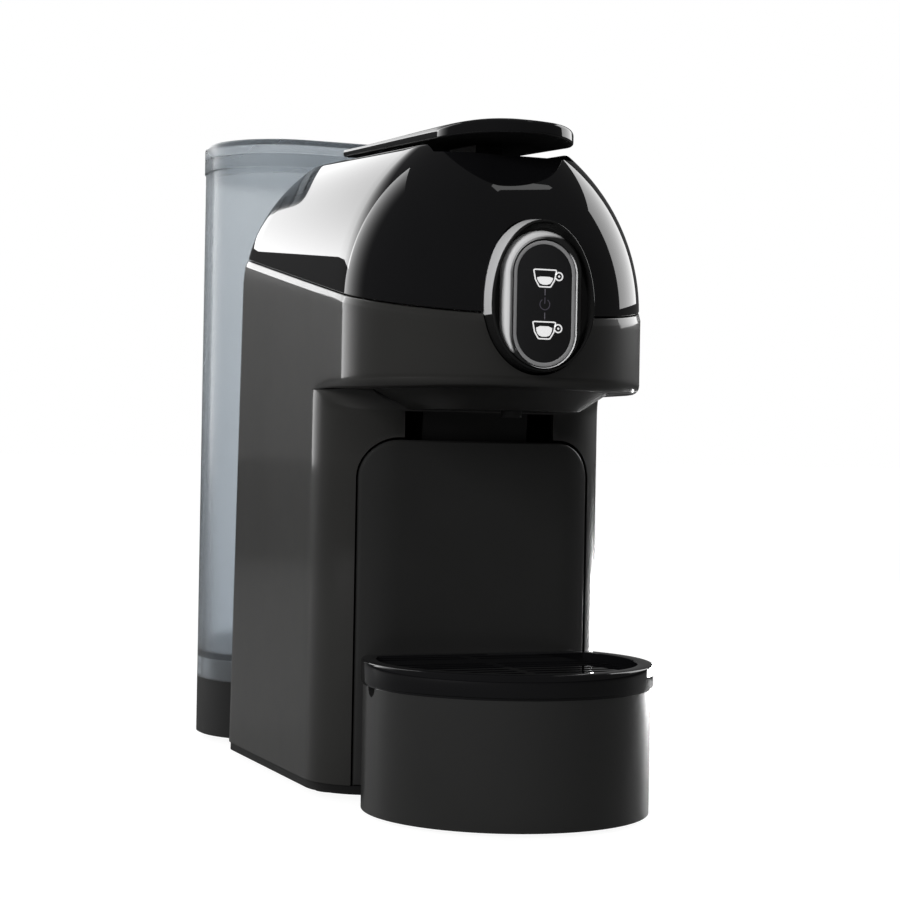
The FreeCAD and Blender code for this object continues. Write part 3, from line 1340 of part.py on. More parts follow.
screw_hole = s.screw_radius + s.run_gap
for index, (x, y) in enumerate(frame_screws):
    hole = rod(f"frame_screw_hole_{index}", screw_hole, x, y, (s.chassis_z, frame_top + 1))
    frame_cuts.append(hole)
keep(trim("BrewFrame", join("frame_solid", *frame_parts), *frame_cuts), "brew_frame")

head_parts = [
    rod("head_disc", s.water_head_radius, 0, (head_face, head_back), s.brew_z),
    rod("head_boss", s.gasket_bore - s.run_gap, 0, (s.brew_face_y, head_face), s.brew_z),
    rod("head_stub", s.stub_radius, 0, (head_back, head_back + s.stub_length), s.brew_z),
]
keep(join("WaterHead", *head_parts), "water_head")
gasket_y = (s.brew_face_y, head_face)
keep(ring("HeadGasket", s.gasket_radius, s.gasket_bore, 0, gasket_y, s.brew_z), "head_gasket")
needles = []
for index in range(3):
    turn = math.radians(90 + 120 * index)
    needle = doc.addObject("Part::Cone", f"needle_{index}")
    needle.Placement.Rotation = FreeCAD.Rotation(Vector(1, 0, 0), 90)
    tie(needle, "Radius1", s.needle_radius)
    tie(needle, "Radius2", s.needle_radius / 5)
    tie(needle, "Height", s.needle_length)
    x, z = s.needle_circle * round(math.cos(turn), 6), s.brew_z + s.needle_circle * round(math.sin(turn), 6)
    needles.append(place(needle, x, s.brew_face_y, z))
keep(group("Needles", needles), "piercing_needles")

carriage_rear = s.brew_face_y - s.fit_gap / 3
carriage_front = carriage_rear - s.carriage_length
arm_rear = crank_y + s.crank_pin_radius + s.yoke_slot_play + 3
arm_front = crank_y - s.crank_pin_radius - s.yoke_slot_play - 3
bar_z = (s.brew_z - s.yoke_bar_height / 2, s.brew_z + s.yoke_bar_height / 2)
pad_y = (s.guide_pin_front_y - 8, s.guide_pin_rear_y + 4)
slot_y = (crank_y - s.crank_pin_radius - s.yoke_slot_play, crank_y + s.crank_pin_radius + s.yoke_slot_play)
slot_z = (crank_low - s.crank_pin_radius - s.slide_gap, crank_z + s.crank_pin_radius + s.slide_gap)
post_z = (bar_z[0], slot_z[1] + s.yoke_top_wall)
carriage_parts = [
    rod("holder_round", s.carriage_radius, 0, (carriage_front, carriage_rear), s.brew_z),
    *both_sides("holder_pad", s.carriage_radius - 4, yoke_out, pad_y, bar_z),
    *both_sides("yoke_bar", yoke_in, yoke_out, (pad_y[0], arm_rear), bar_z),
    *both_sides("yoke_post", yoke_in, yoke_out, (arm_front, arm_rear), post_z),
]
front_wall = s.carriage_length - s.cavity_depth
outlet_y = carriage_front + front_wall / 2
outlet_top = s.brew_z - s.cavity_radius + 4
carriage_cuts = [
    rod("holder_cavity", s.cavity_radius, 0, (carriage_rear - s.cavity_depth, carriage_rear + 1), s.brew_z),
    rod("outlet_down", s.outlet_radius, 0, outlet_y, (s.brew_z - 2 * s.carriage_radius, outlet_top)),
    rod("outlet_in", s.outlet_radius, 0, (outlet_y, outlet_y + front_wall), outlet_top),
    *both_sides("yoke_slot", yoke_in, yoke_out, slot_y, slot_z),
]
guide_pins = []
for index, y in enumerate((s.guide_pin_front_y, s.guide_pin_rear_y)):
    bore = s.guide_pin_radius + s.run_gap
    for side, x in ((0, (yoke_in, cheek_out - 0.2)), (1, (0.2 - cheek_out, -yoke_in))):
        guide_pins.append(rod(f"guide_pin_{index}_{side}", s.guide_pin_radius, x, y, s.brew_z))
        carriage_cuts.append(rod(f"pin_bore_{index}_{side}", bore, x, y, s.brew_z))
keep(trim("Carriage", join("carriage_solid", *carriage_parts), *carriage_cuts), "capsule_holder")
keep(group("GuidePins", guide_pins), "guide_pins")

guide_top = deck_height(n.slot_front_y) - n.shell_wall - n.fit_gap
guide_y = (s.slot_front_y - s.guide_wall, s.slot_rear_y + s.guide_wall)
guide_half = s.slot_half_width + s.guide_wall
guide_parts = [
    box("guide_out", (-guide_half, guide_half), guide_y, (cheek_top, guide_top)),
    *both_sides("guide_flange", guide_half, cheek_out, guide_y, (cheek_top, cheek_top + s.guide_wall)),
]
guide_hole = box(
    "guide_in", (-s.slot_half_width, s.slot_half_width), (s.slot_front_y, s.slot_rear_y), (0, guide_top + 1)
)
keep(trim("CapsuleGuide", join("guide_solid", *guide_parts), guide_hole), "capsule_guide")

funnel_rear = s.drop_front_y - s.chute_wall - s.funnel_gap
funnel_half_in = s.funnel_half_width - s.funnel_wall
funnel_y_in = (s.funnel_front_y + s.funnel_wall, funnel_rear - s.funnel_wall)
funnel_z_in = s.funnel_bottom_z + s.funnel_wall
keep(
    trim(
        "Funnel",
        box(
            "funnel_out",
            (-s.funnel_half_width, s.funnel_half_width),
            (s.funnel_front_y, funnel_rear),
            (s.funnel_bottom_z, s.chassis_z),
        ),
        box("funnel_in", (-funnel_half_in, funnel_half_in), funnel_y_in, (funnel_z_in, s.chassis_z + 1)),
        rod("funnel_hole", s.spout_radius + s.run_gap, 0, tray_y, (0, s.chassis_z)),
    ),
    "coffee_funnel",
)
collar_z = (s.funnel_bottom_z - s.funnel_wall, s.funnel_bottom_z)
spout_parts = [
    rod("spout_tube", s.spout_radius, 0, tray_y, (s.spout_bottom_z, funnel_z_in)),
    rod("spout_collar", s.spout_collar_radius, 0, tray_y, collar_z),
]
spout_bore = rod("spout_bore", s.spout_bore, 0, tray_y, (0, s.chassis_z))
keep(trim("Spout", join("spout_solid", *spout_parts), spout_bore), "coffee_spout")


def make_chute():
    """Sloping duct that carries used capsules from the brew frame to the bin."""
    low = n.bin_top_z + n.chute_over

    def duct(extra, bottom, top):
        half = n.drop_half_width + extra
        front, rear = n.drop_front_y - extra, n.drop_rear_y + extra
        ends = []
        for height, move in ((bottom, n.chute_shift), (n.chute_knee_z, n.chute_knee_shift), (top, 0)):
            near, away = front + move, rear + move
            corners = [(-half, near), (half, near), (half, away), (-half, away)]
            points = [Vector(x, y, height) for x, y in corners]
            ends.append(Part.makePolygon(points + points[:1]))
        return Part.makeLoft(ends, True, True)

    return duct(n.chute_wall, low, n.chassis_z).cut(duct(0, low, n.chassis_z))


keep(solid("Chute", make_chute()), "capsule_chute")

# Chassis with the bulkhead behind the drawer and the pump shelves

case_half = s.body_half_width - s.shell_wall - s.chassis_side_gap
case_rear = s.body_rear_y - s.shell_wall - s.chassis_rear_gap
case_front = s.head_front_y + s.shell_wall + s.chassis_front_gap
case_corner = s.head_corner - s.shell_wall - s.chassis_side_gap
bulkhead_rear = s.bulkhead_y + s.bulkhead_thickness
pump_x = s.body_half_width - s.pump_edge
shelf_x = (pump_x - s.mount_flange_radius - 2, pump_x + s.mount_flange_radius + 2)
shelf_y = (s.bulkhead_y, s.shelf_rear_y)
shelves = [
    box(f"shelf_{index}", shelf_x, shelf_y, (z, z + s.shelf_thickness))
    for index, z in enumerate((s.shelf_low_z, s.shelf_high_z))
]
rear_radius = s.rear_corner_top - s.shell_wall - s.chassis_side_gap
deck_radii, deck_z = (case_corner, rear_radius), (s.chassis_z, chassis_top)
deck_plate = slab("chassis_deck", case_half, (case_front, case_rear), deck_radii, deck_z)
bulkhead = box("bulkhead", (-case_half, case_half), (s.bulkhead_y, bulkhead_rear), (floor, s.chassis_z))
drop_x, drop_y = (-s.drop_half_width, s.drop_half_width), (s.drop_front_y, s.drop_rear_y)
chassis_cuts = [
    box("chassis_drop", drop_x, drop_y, (s.bin_top_z, chassis_top)),
    box("chassis_drip", (-funnel_half_in, funnel_half_in), funnel_y_in, (s.bin_top_z, chassis_top)),
    rod("chassis_hose", s.hose_radius + 4 * s.fit_gap, 0, s.outlet_y, (s.boiler_top_z, chassis_top + 1)),
    rod("pump_hole", s.mount_radius + s.run_gap, pump_x, s.pump_y, (0, s.boiler_bottom_z)),
]
for index, (x, y) in enumerate(frame_screws):
    hole = rod(f"chassis_screw_hole_{index}", screw_hole, x, y, (s.boiler_top_z, chassis_top + 1))
    chassis_cuts.append(hole)
keep(trim("Chassis", join("chassis_solid", deck_plate, bulkhead, *shelves), *chassis_cuts), "chassis")
frame_screw_set = []
for index, (x, y) in enumerate(frame_screws):
    head_z = (frame_top, frame_top + s.screw_head_height)
    head = rod(f"frame_head_{index}", s.screw_head_radius, x, y, head_z)
    shank = rod(f"frame_shank_{index}", s.screw_radius, x, y, (s.chassis_z, frame_top))
    frame_screw_set.append(join(f"frame_screw_{index}", head, shank))
keep(group("FrameScrews", frame_screw_set), "frame_screws")
cover_screw_set = []
for index, (x, z) in enumerate(cover_screws):
    seat = s.body_rear_y - s.screw_sink
    head = rod(f"cover_head_{index}", s.screw_head_radius, x, (seat, seat + s.screw_head_height), z)
    shank = rod(f"cover_shank_{index}", s.screw_radius, x, (seat - s.screw_length / 2, seat), z)
    cover_screw_set.append(join(f"cover_screw_{index}", head, shank))
keep(group("CoverScrews", cover_screw_set), "cover_screws")

# Water heater, pump, flow meter, power board and hoses

boiler_left = s.boiler_left_edge - s.body_half_width
boiler_right = s.body_half_width - s.boiler_right_edge
thermostat_x = boiler_left + s.thermostat_in


def make_boiler():
    """Cast block with rounded edges, an outlet stub on top and an inlet stub at the right."""
    low, high = n.boiler_bottom_z, n.boiler_top_z
    corner = Vector(boiler_left.value, n.boiler_front_y, low)
    block = Part.makeBox(
        boiler_right.value - boiler_left.value, n.boiler_rear_y - n.boiler_front_y, high - low, corner
    )
    block = block.makeFillet(n.boiler_edge, block.Edges)
    depth = 3 * n.stub_length
    outlet = ((0, n.outlet_y, high + n.stub_length), (0, 0, -1))
    inlet = ((boiler_right.value + n.stub_length, n.pump_y, n.inlet_z), (-1, 0, 0))
    for start, direction in (outlet, inlet):
        block = block.fuse(tube_at(n.stub_radius, start, direction, 2 * n.stub_length))
    bores = [tube_at(n.hose_bore, start, direction, depth) for start, direction in (outlet, inlet)]
    return block.cut(bores)


def make_pipe(points, outer, inner, bend):
    """Round pipe along straight runs that meet in arcs."""
    line = [Vector(*point) for point in points]
    pieces = []
    start = line[0]
    for index in range(1, len(line)):
        corner = line[index]
        arrive = (corner - line[index - 1]).normalize()
        end = corner
        if index < len(line) - 1:
            leave = (line[index + 1] - corner).normalize()
            end = corner - arrive * bend
        tube = Part.makeCylinder(outer, (end - start).Length, start, arrive)
        if inner:
            tube = tube.cut(Part.makeCylinder(inner, (end - start).Length, start, arrive))
        pieces.append(tube)
        if index < len(line) - 1:
            centre = end + leave * bend
            face = Part.Face(Part.Wire(Part.makeCircle(outer, end, arrive)))
            if inner:
                face = face.cut(Part.Face(Part.Wire(Part.makeCircle(inner, end, arrive))))
            pieces.append(face.revolve(centre, arrive.cross(leave), 90))
            start = corner + leave * bend
    return pieces[0].fuse(pieces[1:]) if len(pieces) > 1 else pieces[0]


def make_element():
    """U-shaped heating rod under the boiler."""
    middle = (boiler_left.value + boiler_right.value) / 2
    z = n.boiler_bottom_z - n.element_radius
    legs = []
    for side in (-1, 1):
        start = (middle + side * n.element_bend, n.element_bend_y, z)
        legs.append(tube_at(n.element_radius, start, (0, 1, 0), n.element_rear_y - n.element_bend_y))
    start = Vector(middle - n.element_bend, n.element_bend_y, z)
    face = Part.Face(Part.Wire(Part.makeCircle(n.element_radius, start, Vector(0, 1, 0))))
    bow = face.revolve(Vector(middle, n.element_bend_y, z), Vector(0, 0, 1), 180)
    return bow.fuse(legs)


def make_power_board():
    """Circuit board with its spacers, transformer, relay, capacitor and terminals."""
    x0, x1 = n.power_left_x, n.power_right_x
    z0, z1 = n.power_bottom_z, n.power_top_z
    back = n.bulkhead_y + n.bulkhead_thickness
    face = back + n.power_spacer
    rear = face + n.board_thickness
    shape = Part.makeBox(x1 - x0, n.board_thickness, z1 - z0, Vector(x0, face, z0))
    u = (x1 - x0) / 48
    blocks = [
        (x0 + 5 * u, z0 + 6 * u, 18, 9, 16),
        (x0 + 28 * u, z0 + 5 * u, 14, 8, 10),
        (x0 + 5 * u, z1 - 16 * u, 12, 6, 9),
        (x1 - 12 * u, z1 - 22 * u, 8, 7, 18),
    ]
    parts = [Part.makeBox(w * u, d * u, h * u, Vector(x, rear, z)) for x, z, w, d, h in blocks]
    parts.append(tube_at(4.5 * u, ((x0 + x1) / 2, rear, z1 - 12 * u), (0, 1, 0), 11 * u))
    for x in (x0 + 4 * u, x1 - 4 * u):
        for z in (z0 + 3 * u, z1 - 3 * u):
            parts.append(tube_at(2 * u, (x, back, z), (0, 1, 0), n.power_spacer))
    return shape.fuse(parts)


keep(solid("Boiler", make_boiler()), "boiler_body")
keep(solid("Element", make_element()), "heating_element")
thermostat_z = s.boiler_top_z + s.thermostat_height
can_z = (s.boiler_top_z, thermostat_z)
thermostat_parts = [
    rod("thermostat_can", s.thermostat_radius, thermostat_x, s.thermostat_y, can_z),
    box(
        "thermostat_tabs",
        (thermostat_x - 1.5 * s.thermostat_radius, thermostat_x + 1.5 * s.thermostat_radius),
        (s.thermostat_y - 2, s.thermostat_y + 2),
        (s.boiler_top_z + 2, s.boiler_top_z + 3),
    ),
]
keep(join("Thermostat", *thermostat_parts), "thermostat")
strap_y = (s.strap_front_y, s.strap_rear_y)
strap_z = (s.strap_bottom_z, s.chassis_z)
straps = [
    box("strap_left", (boiler_left - s.strap_thickness, boiler_left), strap_y, strap_z),
    box("strap_right", (boiler_right, boiler_right + s.strap_thickness), strap_y, strap_z),
]
keep(group("Straps", straps), "boiler_straps")

pump_low = s.pump_bottom_z - s.stub_length
pump_high = s.pump_top_z + s.stub_length
spring_low = s.pump_bottom_z + s.stub_length
pump_parts = [
    rod("pump_round", s.pump_radius, pump_x, s.pump_y, (s.pump_bottom_z, s.pump_top_z)),
    rod("pump_stubs", s.stub_radius, pump_x, s.pump_y, (pump_low, pump_high)),
]
pump_cuts = [
    rod("pump_chamber", s.pump_bore, pump_x, s.pump_y, (spring_low, s.pump_top_z - s.stub_length)),
    rod("pump_way", s.hose_bore, pump_x, s.pump_y, (pump_low - 1, pump_high + 1)),
]
keep(trim("PumpBody", join("pump_solid", *pump_parts), *pump_cuts), "pump_body")
coil_z = (s.coil_bottom_z, s.coil_top_z)
keep(ring("Coil", s.coil_radius, s.pump_radius + s.fit_gap, pump_x, s.pump_y, coil_z), "pump_coil")
piston_z = (s.piston_bottom_z, s.piston_bottom_z + s.piston_length)
keep(rod("Piston", s.piston_radius, pump_x, s.pump_y, piston_z), "pump_piston")


def make_spring():
    """Coil spring between the bottom of the pump's chamber and the piston."""
    radius = n.pump_bore - n.spring_wire - n.fit_gap
    low = n.pump_bottom_z + n.stub_length + n.spring_wire
    height = n.piston_bottom_z - n.spring_wire - low
    path = Part.makeHelix(height / n.spring_turns, height, radius)
    section = Part.Wire(Part.makeCircle(n.spring_wire, Vector(radius, 0, 0), Vector(0, 1, 0)))
    spring = Part.Wire(path.Edges).makePipeShell([section], True, True)
    spring.translate(Vector(pump_x.value, n.pump_y, low))
    return spring


keep(solid("Spring", make_spring()), "pump_spring")
mounts = []
for index, z in enumerate((s.shelf_low_z, s.shelf_high_z)):
    top = z + s.shelf_thickness
    neck = rod(f"mount_neck_{index}", s.mount_radius, pump_x, s.pump_y, (z, top))
    flange_top = top + s.mount_flange
    flange = rod(f"mount_flange_{index}", s.mount_flange_radius, pump_x, s.pump_y, (top, flange_top))
    bore_z = (z - s.mount_flange, flange_top + s.mount_flange)
    bore = rod(f"mount_bore_{index}", s.pump_radius + s.run_gap, pump_x, s.pump_y, bore_z)
    mounts.append(trim(f"mount_{index}", join(f"mount_solid_{index}", neck, flange), bore))
keep(group("PumpMounts", mounts), "pump_mounts")

meter_reach = s.meter_radius + s.stub_length
meter_parts = [
    rod("meter_round", s.meter_radius, s.meter_x, s.pump_y, (floor, s.meter_top_z)),
    rod("meter_in", s.stub_radius, s.meter_x, (s.pump_y, s.pump_y + meter_reach), s.low_hose_z),
    rod("meter_out", s.stub_radius, (s.meter_x, s.meter_x + meter_reach), s.pump_y, s.low_hose_z),
]
meter_cuts = [
    rod("meter_way_in", s.hose_bore, s.meter_x, (s.pump_y, s.pump_y + meter_reach + 1), s.low_hose_z),
    rod("meter_way_out", s.hose_bore, (s.meter_x, s.meter_x + meter_reach + 1), s.pump_y, s.low_hose_z),
]
keep(trim("FlowMeter", join("meter_solid", *meter_parts), *meter_cuts), "flow_meter")
keep(solid("PowerBoard", make_power_board()), "power_board")

elbow_front = n.port_y - n.port_radius - n.stub_length
reach = n.meter_radius + n.stub_length
head_end = n.brew_face_y + n.gasket_depth + n.water_head_length + n.stub_length
hoses = {
    "suction_hose": [
        (n.meter_x, n.pump_y + reach, n.low_hose_z),
        (n.meter_x, elbow_front, n.low_hose_z),
    ],
    "feed_hose": [
        (n.meter_x + reach, n.pump_y, n.low_hose_z),
        (pump_x.value, n.pump_y, n.low_hose_z),
        (pump_x.value, n.pump_y, n.pump_bottom_z - n.stub_length),
    ],
    "pressure_hose": [
        (pump_x.value, n.pump_y, n.pump_top_z + n.stub_length),
        (pump_x.value, n.pump_y, n.inlet_z),
        (boiler_right.value + n.stub_length, n.pump_y, n.inlet_z),
    ],
    "brew_hose": [
        (0, head_end, n.brew_z),
        (0, n.outlet_y, n.brew_z),
        (0, n.outlet_y, n.boiler_top_z + n.stub_length),
    ],
}
for label, points in hoses.items():
    keep(solid("Hose", make_pipe(points, n.hose_radius, n.hose_bore, n.hose_bend)), label)

gland_y = s.body_rear_y
gland_x = s.body_half_width - s.gland_edge
gland_rear = gland_y + s.gland_proud
gland_parts = [
    rod("gland_neck", s.gland_radius, gland_x, (gland_y - 9, gland_rear), s.gland_z),
    rod("gland_out", s.gland_flange_radius, gland_x, (gland_y + s.fit_gap, gland_rear), s.gland_z),
    rod("gland_in", s.gland_flange_radius, gland_x, (gland_y - 9, gland_y - 7), s.gland_z),
]
bore_y = (gland_y - 10, gland_y + 2 * s.gland_proud)
gland_bore = rod("gland_bore", s.gland_bore_radius, gland_x, bore_y, s.gland_z)
keep(trim("Gland", join("gland_solid", *gland_parts), gland_bore), "cable_gland")

# Water tank, its seat and the port

seat_y = (tank_front, tank_rear)
seat_radii = (s.tank_corner, s.tank_corner)
seat_top = s.tank_bottom_z
seat_under = seat_top - s.seat_wall
plinth_top = seat_top + s.plinth_height
rim_inset = s.tank_rim_proud


def set_in(name, inset, z):
    """A block with the tank's plan, drawn in all round."""
    radius = s.tank_corner - inset
    y = (tank_front + inset, tank_rear - inset)
    return slab(name, s.tank_half_width - inset, y, (radius, radius), z)


plinth_inset = rim_inset + s.tank_wall + s.slide_gap
seat_outer = join(
    "seat_outer",
    set_in("seat_body", rim_inset, (s.foot_height, seat_top)),
    set_in("seat_plinth", plinth_inset, (seat_top, plinth_top)),
)
hollows = [
    set_in("seat_hollow", rim_inset + s.seat_wall, (0, seat_under)),
    set_in("plinth_hollow", plinth_inset + s.seat_wall, (0, plinth_top - s.seat_wall)),
]
seat_post_set = [
    rod(f"seat_post_{index}", s.seat_post_radius, x, y, (floor, plinth_top - s.seat_wall))
    for index, (x, y) in enumerate(seat_posts)
]
seat_cuts = [
    box(
        "seat_notch",
        (-s.tail_half_width - s.fit_gap, s.tail_half_width + s.fit_gap),
        (tank_front - s.fit_gap, s.tail_rear_y + s.fit_gap),
        (0, floor + s.fit_gap),
    ),
    rod("seat_port_hole", s.port_radius + s.fit_gap, 0, s.port_y, (seat_under, plinth_top + 1)),
    rod("seat_hose_hole", s.hose_radius + s.fit_gap, 0, (tank_front - 1, s.port_y), s.low_hose_z),
]
post_bores = [
    rod(f"seat_bore_{index}", s.screw_radius + s.run_gap, x, y, (0, floor + s.screw_length))
    for index, (x, y) in enumerate(seat_posts)
]
seat_shell = trim("seat_shell", seat_outer, *hollows, *seat_cuts)
keep(trim("TankSeat", join("seat_solid", seat_shell, *seat_post_set), *post_bores), "tank_seat")

port_low = s.low_hose_z - s.stub_length
flange_top = plinth_top - s.seat_wall
elbow_y = s.port_y - s.port_radius - s.stub_length
port_parts = [
    rod("port_round", s.port_radius, 0, s.port_y, (port_low, plinth_top)),
    rod("port_flange", s.port_flange_radius, 0, s.port_y, (flange_top - 3, flange_top)),
    rod("port_elbow", s.stub_radius, 0, (elbow_y, s.port_y), s.low_hose_z),
]
port_cuts = [
    rod("port_well", s.port_bore, 0, s.port_y, (s.meter_top_z, plinth_top + 1)),
    rod("port_down", s.hose_bore, 0, s.port_y, (s.low_hose_z, plinth_top)),
    rod("port_way", s.hose_bore, 0, (elbow_y - 1, s.port_y), s.low_hose_z),
]
keep(trim("Port", join("port_solid", *port_parts), *port_cuts), "tank_port")
seal = doc.addObject("Part::Torus", "PortSeal")
tie(seal, "Radius1", s.valve_radius + s.run_gap + s.seal_wire / 2)
tie(seal, "Radius2", s.seal_wire / 2)
keep(place(seal, 0, s.port_y, s.seal_z), "port_seal")

rim_top = s.tank_rim_z + s.tank_rim_height
tank_floor_top = s.tank_floor_z + s.tank_floor
inner = rim_inset + s.tank_wall
tank_outer = join(
    "tank_outer",
    set_in("tank_walls", rim_inset, (seat_top, rim_top)),
    set_in("tank_rim", 0, (s.tank_rim_z, rim_top)),
)
tank_cuts = [
    set_in("tank_hollow", inner, (tank_floor_top, rim_top + 1)),
    set_in("tank_skirt", inner, (0, s.tank_floor_z)),
    rod("valve_hole", s.valve_radius + s.run_gap, 0, s.port_y, (s.tank_bottom_z, tank_floor_top + 1)),
]
keep(trim("Tank", tank_outer, *tank_cuts), "water_tank")
flange_z = (tank_floor_top, tank_floor_top + s.valve_flange)
valve_parts = [
    rod("valve_stem", s.valve_radius, 0, s.port_y, (s.tank_floor_z - s.valve_drop, tank_floor_top)),
    rod("valve_flange", s.valve_flange_radius, 0, s.port_y, flange_z),
]
valve_bore = rod("valve_bore", s.hose_bore, 0, s.port_y, (0, s.tank_rim_z))
keep(trim("Valve", join("valve_solid", *valve_parts), valve_bore), "tank_valve")
filter_top = tank_floor_top + s.filter_height
filter_hollow = rod(
    "filter_in", s.filter_radius - s.filter_wall, 0, s.port_y, (tank_floor_top - 1, filter_top - s.filter_wall)
)
slot_z = (tank_floor_top + 2, filter_top + 1)
slot_reach = s.filter_radius - s.filter_wall
filter_slots = [
    box("filter_slot_across", (-slot_reach, slot_reach), (s.port_y - 0.5, s.port_y + 0.5), slot_z),
    box("filter_slot_along", (-0.5, 0.5), (s.port_y - slot_reach, s.port_y + slot_reach), slot_z),
]
filter_out = rod("filter_out", s.filter_radius, 0, s.port_y, (tank_floor_top, filter_top))
keep(trim("Filter", filter_out, filter_hollow, *filter_slots), "tank_filter")


def make_lid():
    """Tank lid with a rounded top edge and a skirt that sits inside the tank's wall."""

    def plan(inset):
        radius = n.tank_corner - inset
        front = n.body_rear_y + n.tank_gap + inset
        return plan_wire(n.tank_half_width - inset, front, front + n.tank_depth - 2 * inset, radius, radius)

    low = n.tank_rim_z + n.tank_rim_height
    high = low + n.lid_height
    top = prism(plan(0), low, high)
    edges = [edge for edge in top.Edges if all(abs(v.Z - high) < 0.01 for v in edge.Vertexes)]
    top = top.makeFillet(n.lid_edge, edges)
    inset = n.tank_rim_proud + n.tank_wall + n.fit_gap
    skirt = prism(plan(inset), low - n.lid_skirt, low).cut(prism(plan(inset + n.tank_wall), 0, low))
    return top.fuse(skirt)


keep(solid("TankLid", make_lid()), "tank_lid")


doc.recompute()
for thing in doc.Objects:
    if "Invalid" in thing.State or "Error" in thing.State:
        raise RuntimeError(f"{thing.Name} didn't compute")
for thing in nodes:
    if thing.Shape.isNull() or not thing.Shape.isValid():
        raise RuntimeError(f"{thing.Label} has no valid shape")
os.makedirs("parts", exist_ok=True)
for thing in nodes:
    thing.Shape.exportStep(f"parts/{thing.Label}.step")
print(len(nodes), "sub-parts")
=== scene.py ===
# %% [markdown]
# # A capsule coffee machine, dressed for a studio picture
# The machine's solids come packed from a CAD model. This lesson gives them their finishes and
# replaces the ones that a camera sees from close by with finer surfaces of the same size.
# Sizes are written in millimetres and become metres when a mesh is made. +Z is up, -Y is the
# front, and the table is at Z = 0.

# %% Load the solids that everything else is fitted to
import json

import bmesh
import bpy
import numpy as np
from mathutils import Matrix, Vector


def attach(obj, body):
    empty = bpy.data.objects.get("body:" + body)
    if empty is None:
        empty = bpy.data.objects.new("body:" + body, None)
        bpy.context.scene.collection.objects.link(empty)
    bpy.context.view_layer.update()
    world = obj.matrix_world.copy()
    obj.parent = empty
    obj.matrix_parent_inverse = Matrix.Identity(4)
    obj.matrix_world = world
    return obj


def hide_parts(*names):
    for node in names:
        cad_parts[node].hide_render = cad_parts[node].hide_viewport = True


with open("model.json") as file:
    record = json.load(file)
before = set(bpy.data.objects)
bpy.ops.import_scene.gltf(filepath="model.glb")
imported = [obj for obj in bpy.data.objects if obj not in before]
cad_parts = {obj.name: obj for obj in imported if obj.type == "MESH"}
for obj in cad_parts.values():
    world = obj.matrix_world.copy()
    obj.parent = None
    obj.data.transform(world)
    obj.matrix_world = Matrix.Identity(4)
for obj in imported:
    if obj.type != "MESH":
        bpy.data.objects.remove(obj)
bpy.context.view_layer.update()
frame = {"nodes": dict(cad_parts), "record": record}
MM = 0.001
scene = bpy.context.scene

# %% [markdown]
# ## The camera
# The picture was taken from the machine's left front, almost level, from about 0.9 m away.
# A camera's matrix has its right, up and backward directions as columns, so the three are
# worked out from the yaw, the pitch and a small roll, and no helper object has to be aimed.

# %% Place the camera
YAW, PITCH, ROLL = np.radians(22.0), np.radians(0.08), 0.01806
CAMERA_AT = (-0.32041, -0.83585, 0.1375)
SENSOR, FOCAL_PIXELS, PICTURE_PIXELS = 36.0, 2074.72, 900.0
forward = np.array([np.sin(YAW) * np.cos(PITCH), np.cos(YAW) * np.cos(PITCH), np.sin(PITCH)])
level_right = np.array([np.cos(YAW), -np.sin(YAW), 0.0])
level_up = np.cross(level_right, forward)
right = np.cos(ROLL) * level_right + np.sin(ROLL) * level_up
up = np.cos(ROLL) * level_up - np.sin(ROLL) * level_right

lens = bpy.data.cameras.new("camera")
lens.sensor_width = SENSOR
lens.lens = SENSOR * FOCAL_PIXELS / PICTURE_PIXELS
camera = bpy.data.objects.new("camera", lens)
turn = Matrix(np.column_stack([right, up, -forward]).tolist())
camera.matrix_world = Matrix.Translation(CAMERA_AT) @ turn.to_4x4()
scene.collection.objects.link(camera)
scene.camera = camera
scene.view_settings.view_transform = "Standard"
print("lens:", round(lens.lens, 1), "mm on a sensor", lens.sensor_width, "mm wide")

# %% [markdown]
# ## The studio
# A glossy black dome shows the room rather than itself. Three large panels stand to the left,
# behind and to the right of the machine: their mirror images draw its bright shoulders, and the
# dim front of the room keeps its middle black. Two small and dim ones, low on the right and
# above, add faint glints. Two soft lamps in front and on the left light the grey mouldings and
# are left out of reflections. The floor and the background look white to the camera alone, so
# they hardly light the machine.

# %% Light panels
def ramp(tree, value, start, stop, first=0.0, last=1.0):
    """A value mapped evenly: first up to start, last from stop on, and in between on the way."""
    fit = tree.nodes.new("ShaderNodeMapRange")
    fit.inputs["From Min"].default_value, fit.inputs["From Max"].default_value = start, stop
    fit.inputs["To Min"].default_value, fit.inputs["To Max"].default_value = first, last
    tree.links.new(value, fit.inputs["Value"])
    return fit.outputs["Result"]


def dot(tree, vector, direction):
    """How far a vector goes along a fixed direction: their dot product."""
    along = tree.nodes.new("ShaderNodeVectorMath")
    along.operation = "DOT_PRODUCT"
    along.inputs[1].default_value = direction
    tree.links.new(vector, along.inputs[0])
    return along.outputs["Value"]


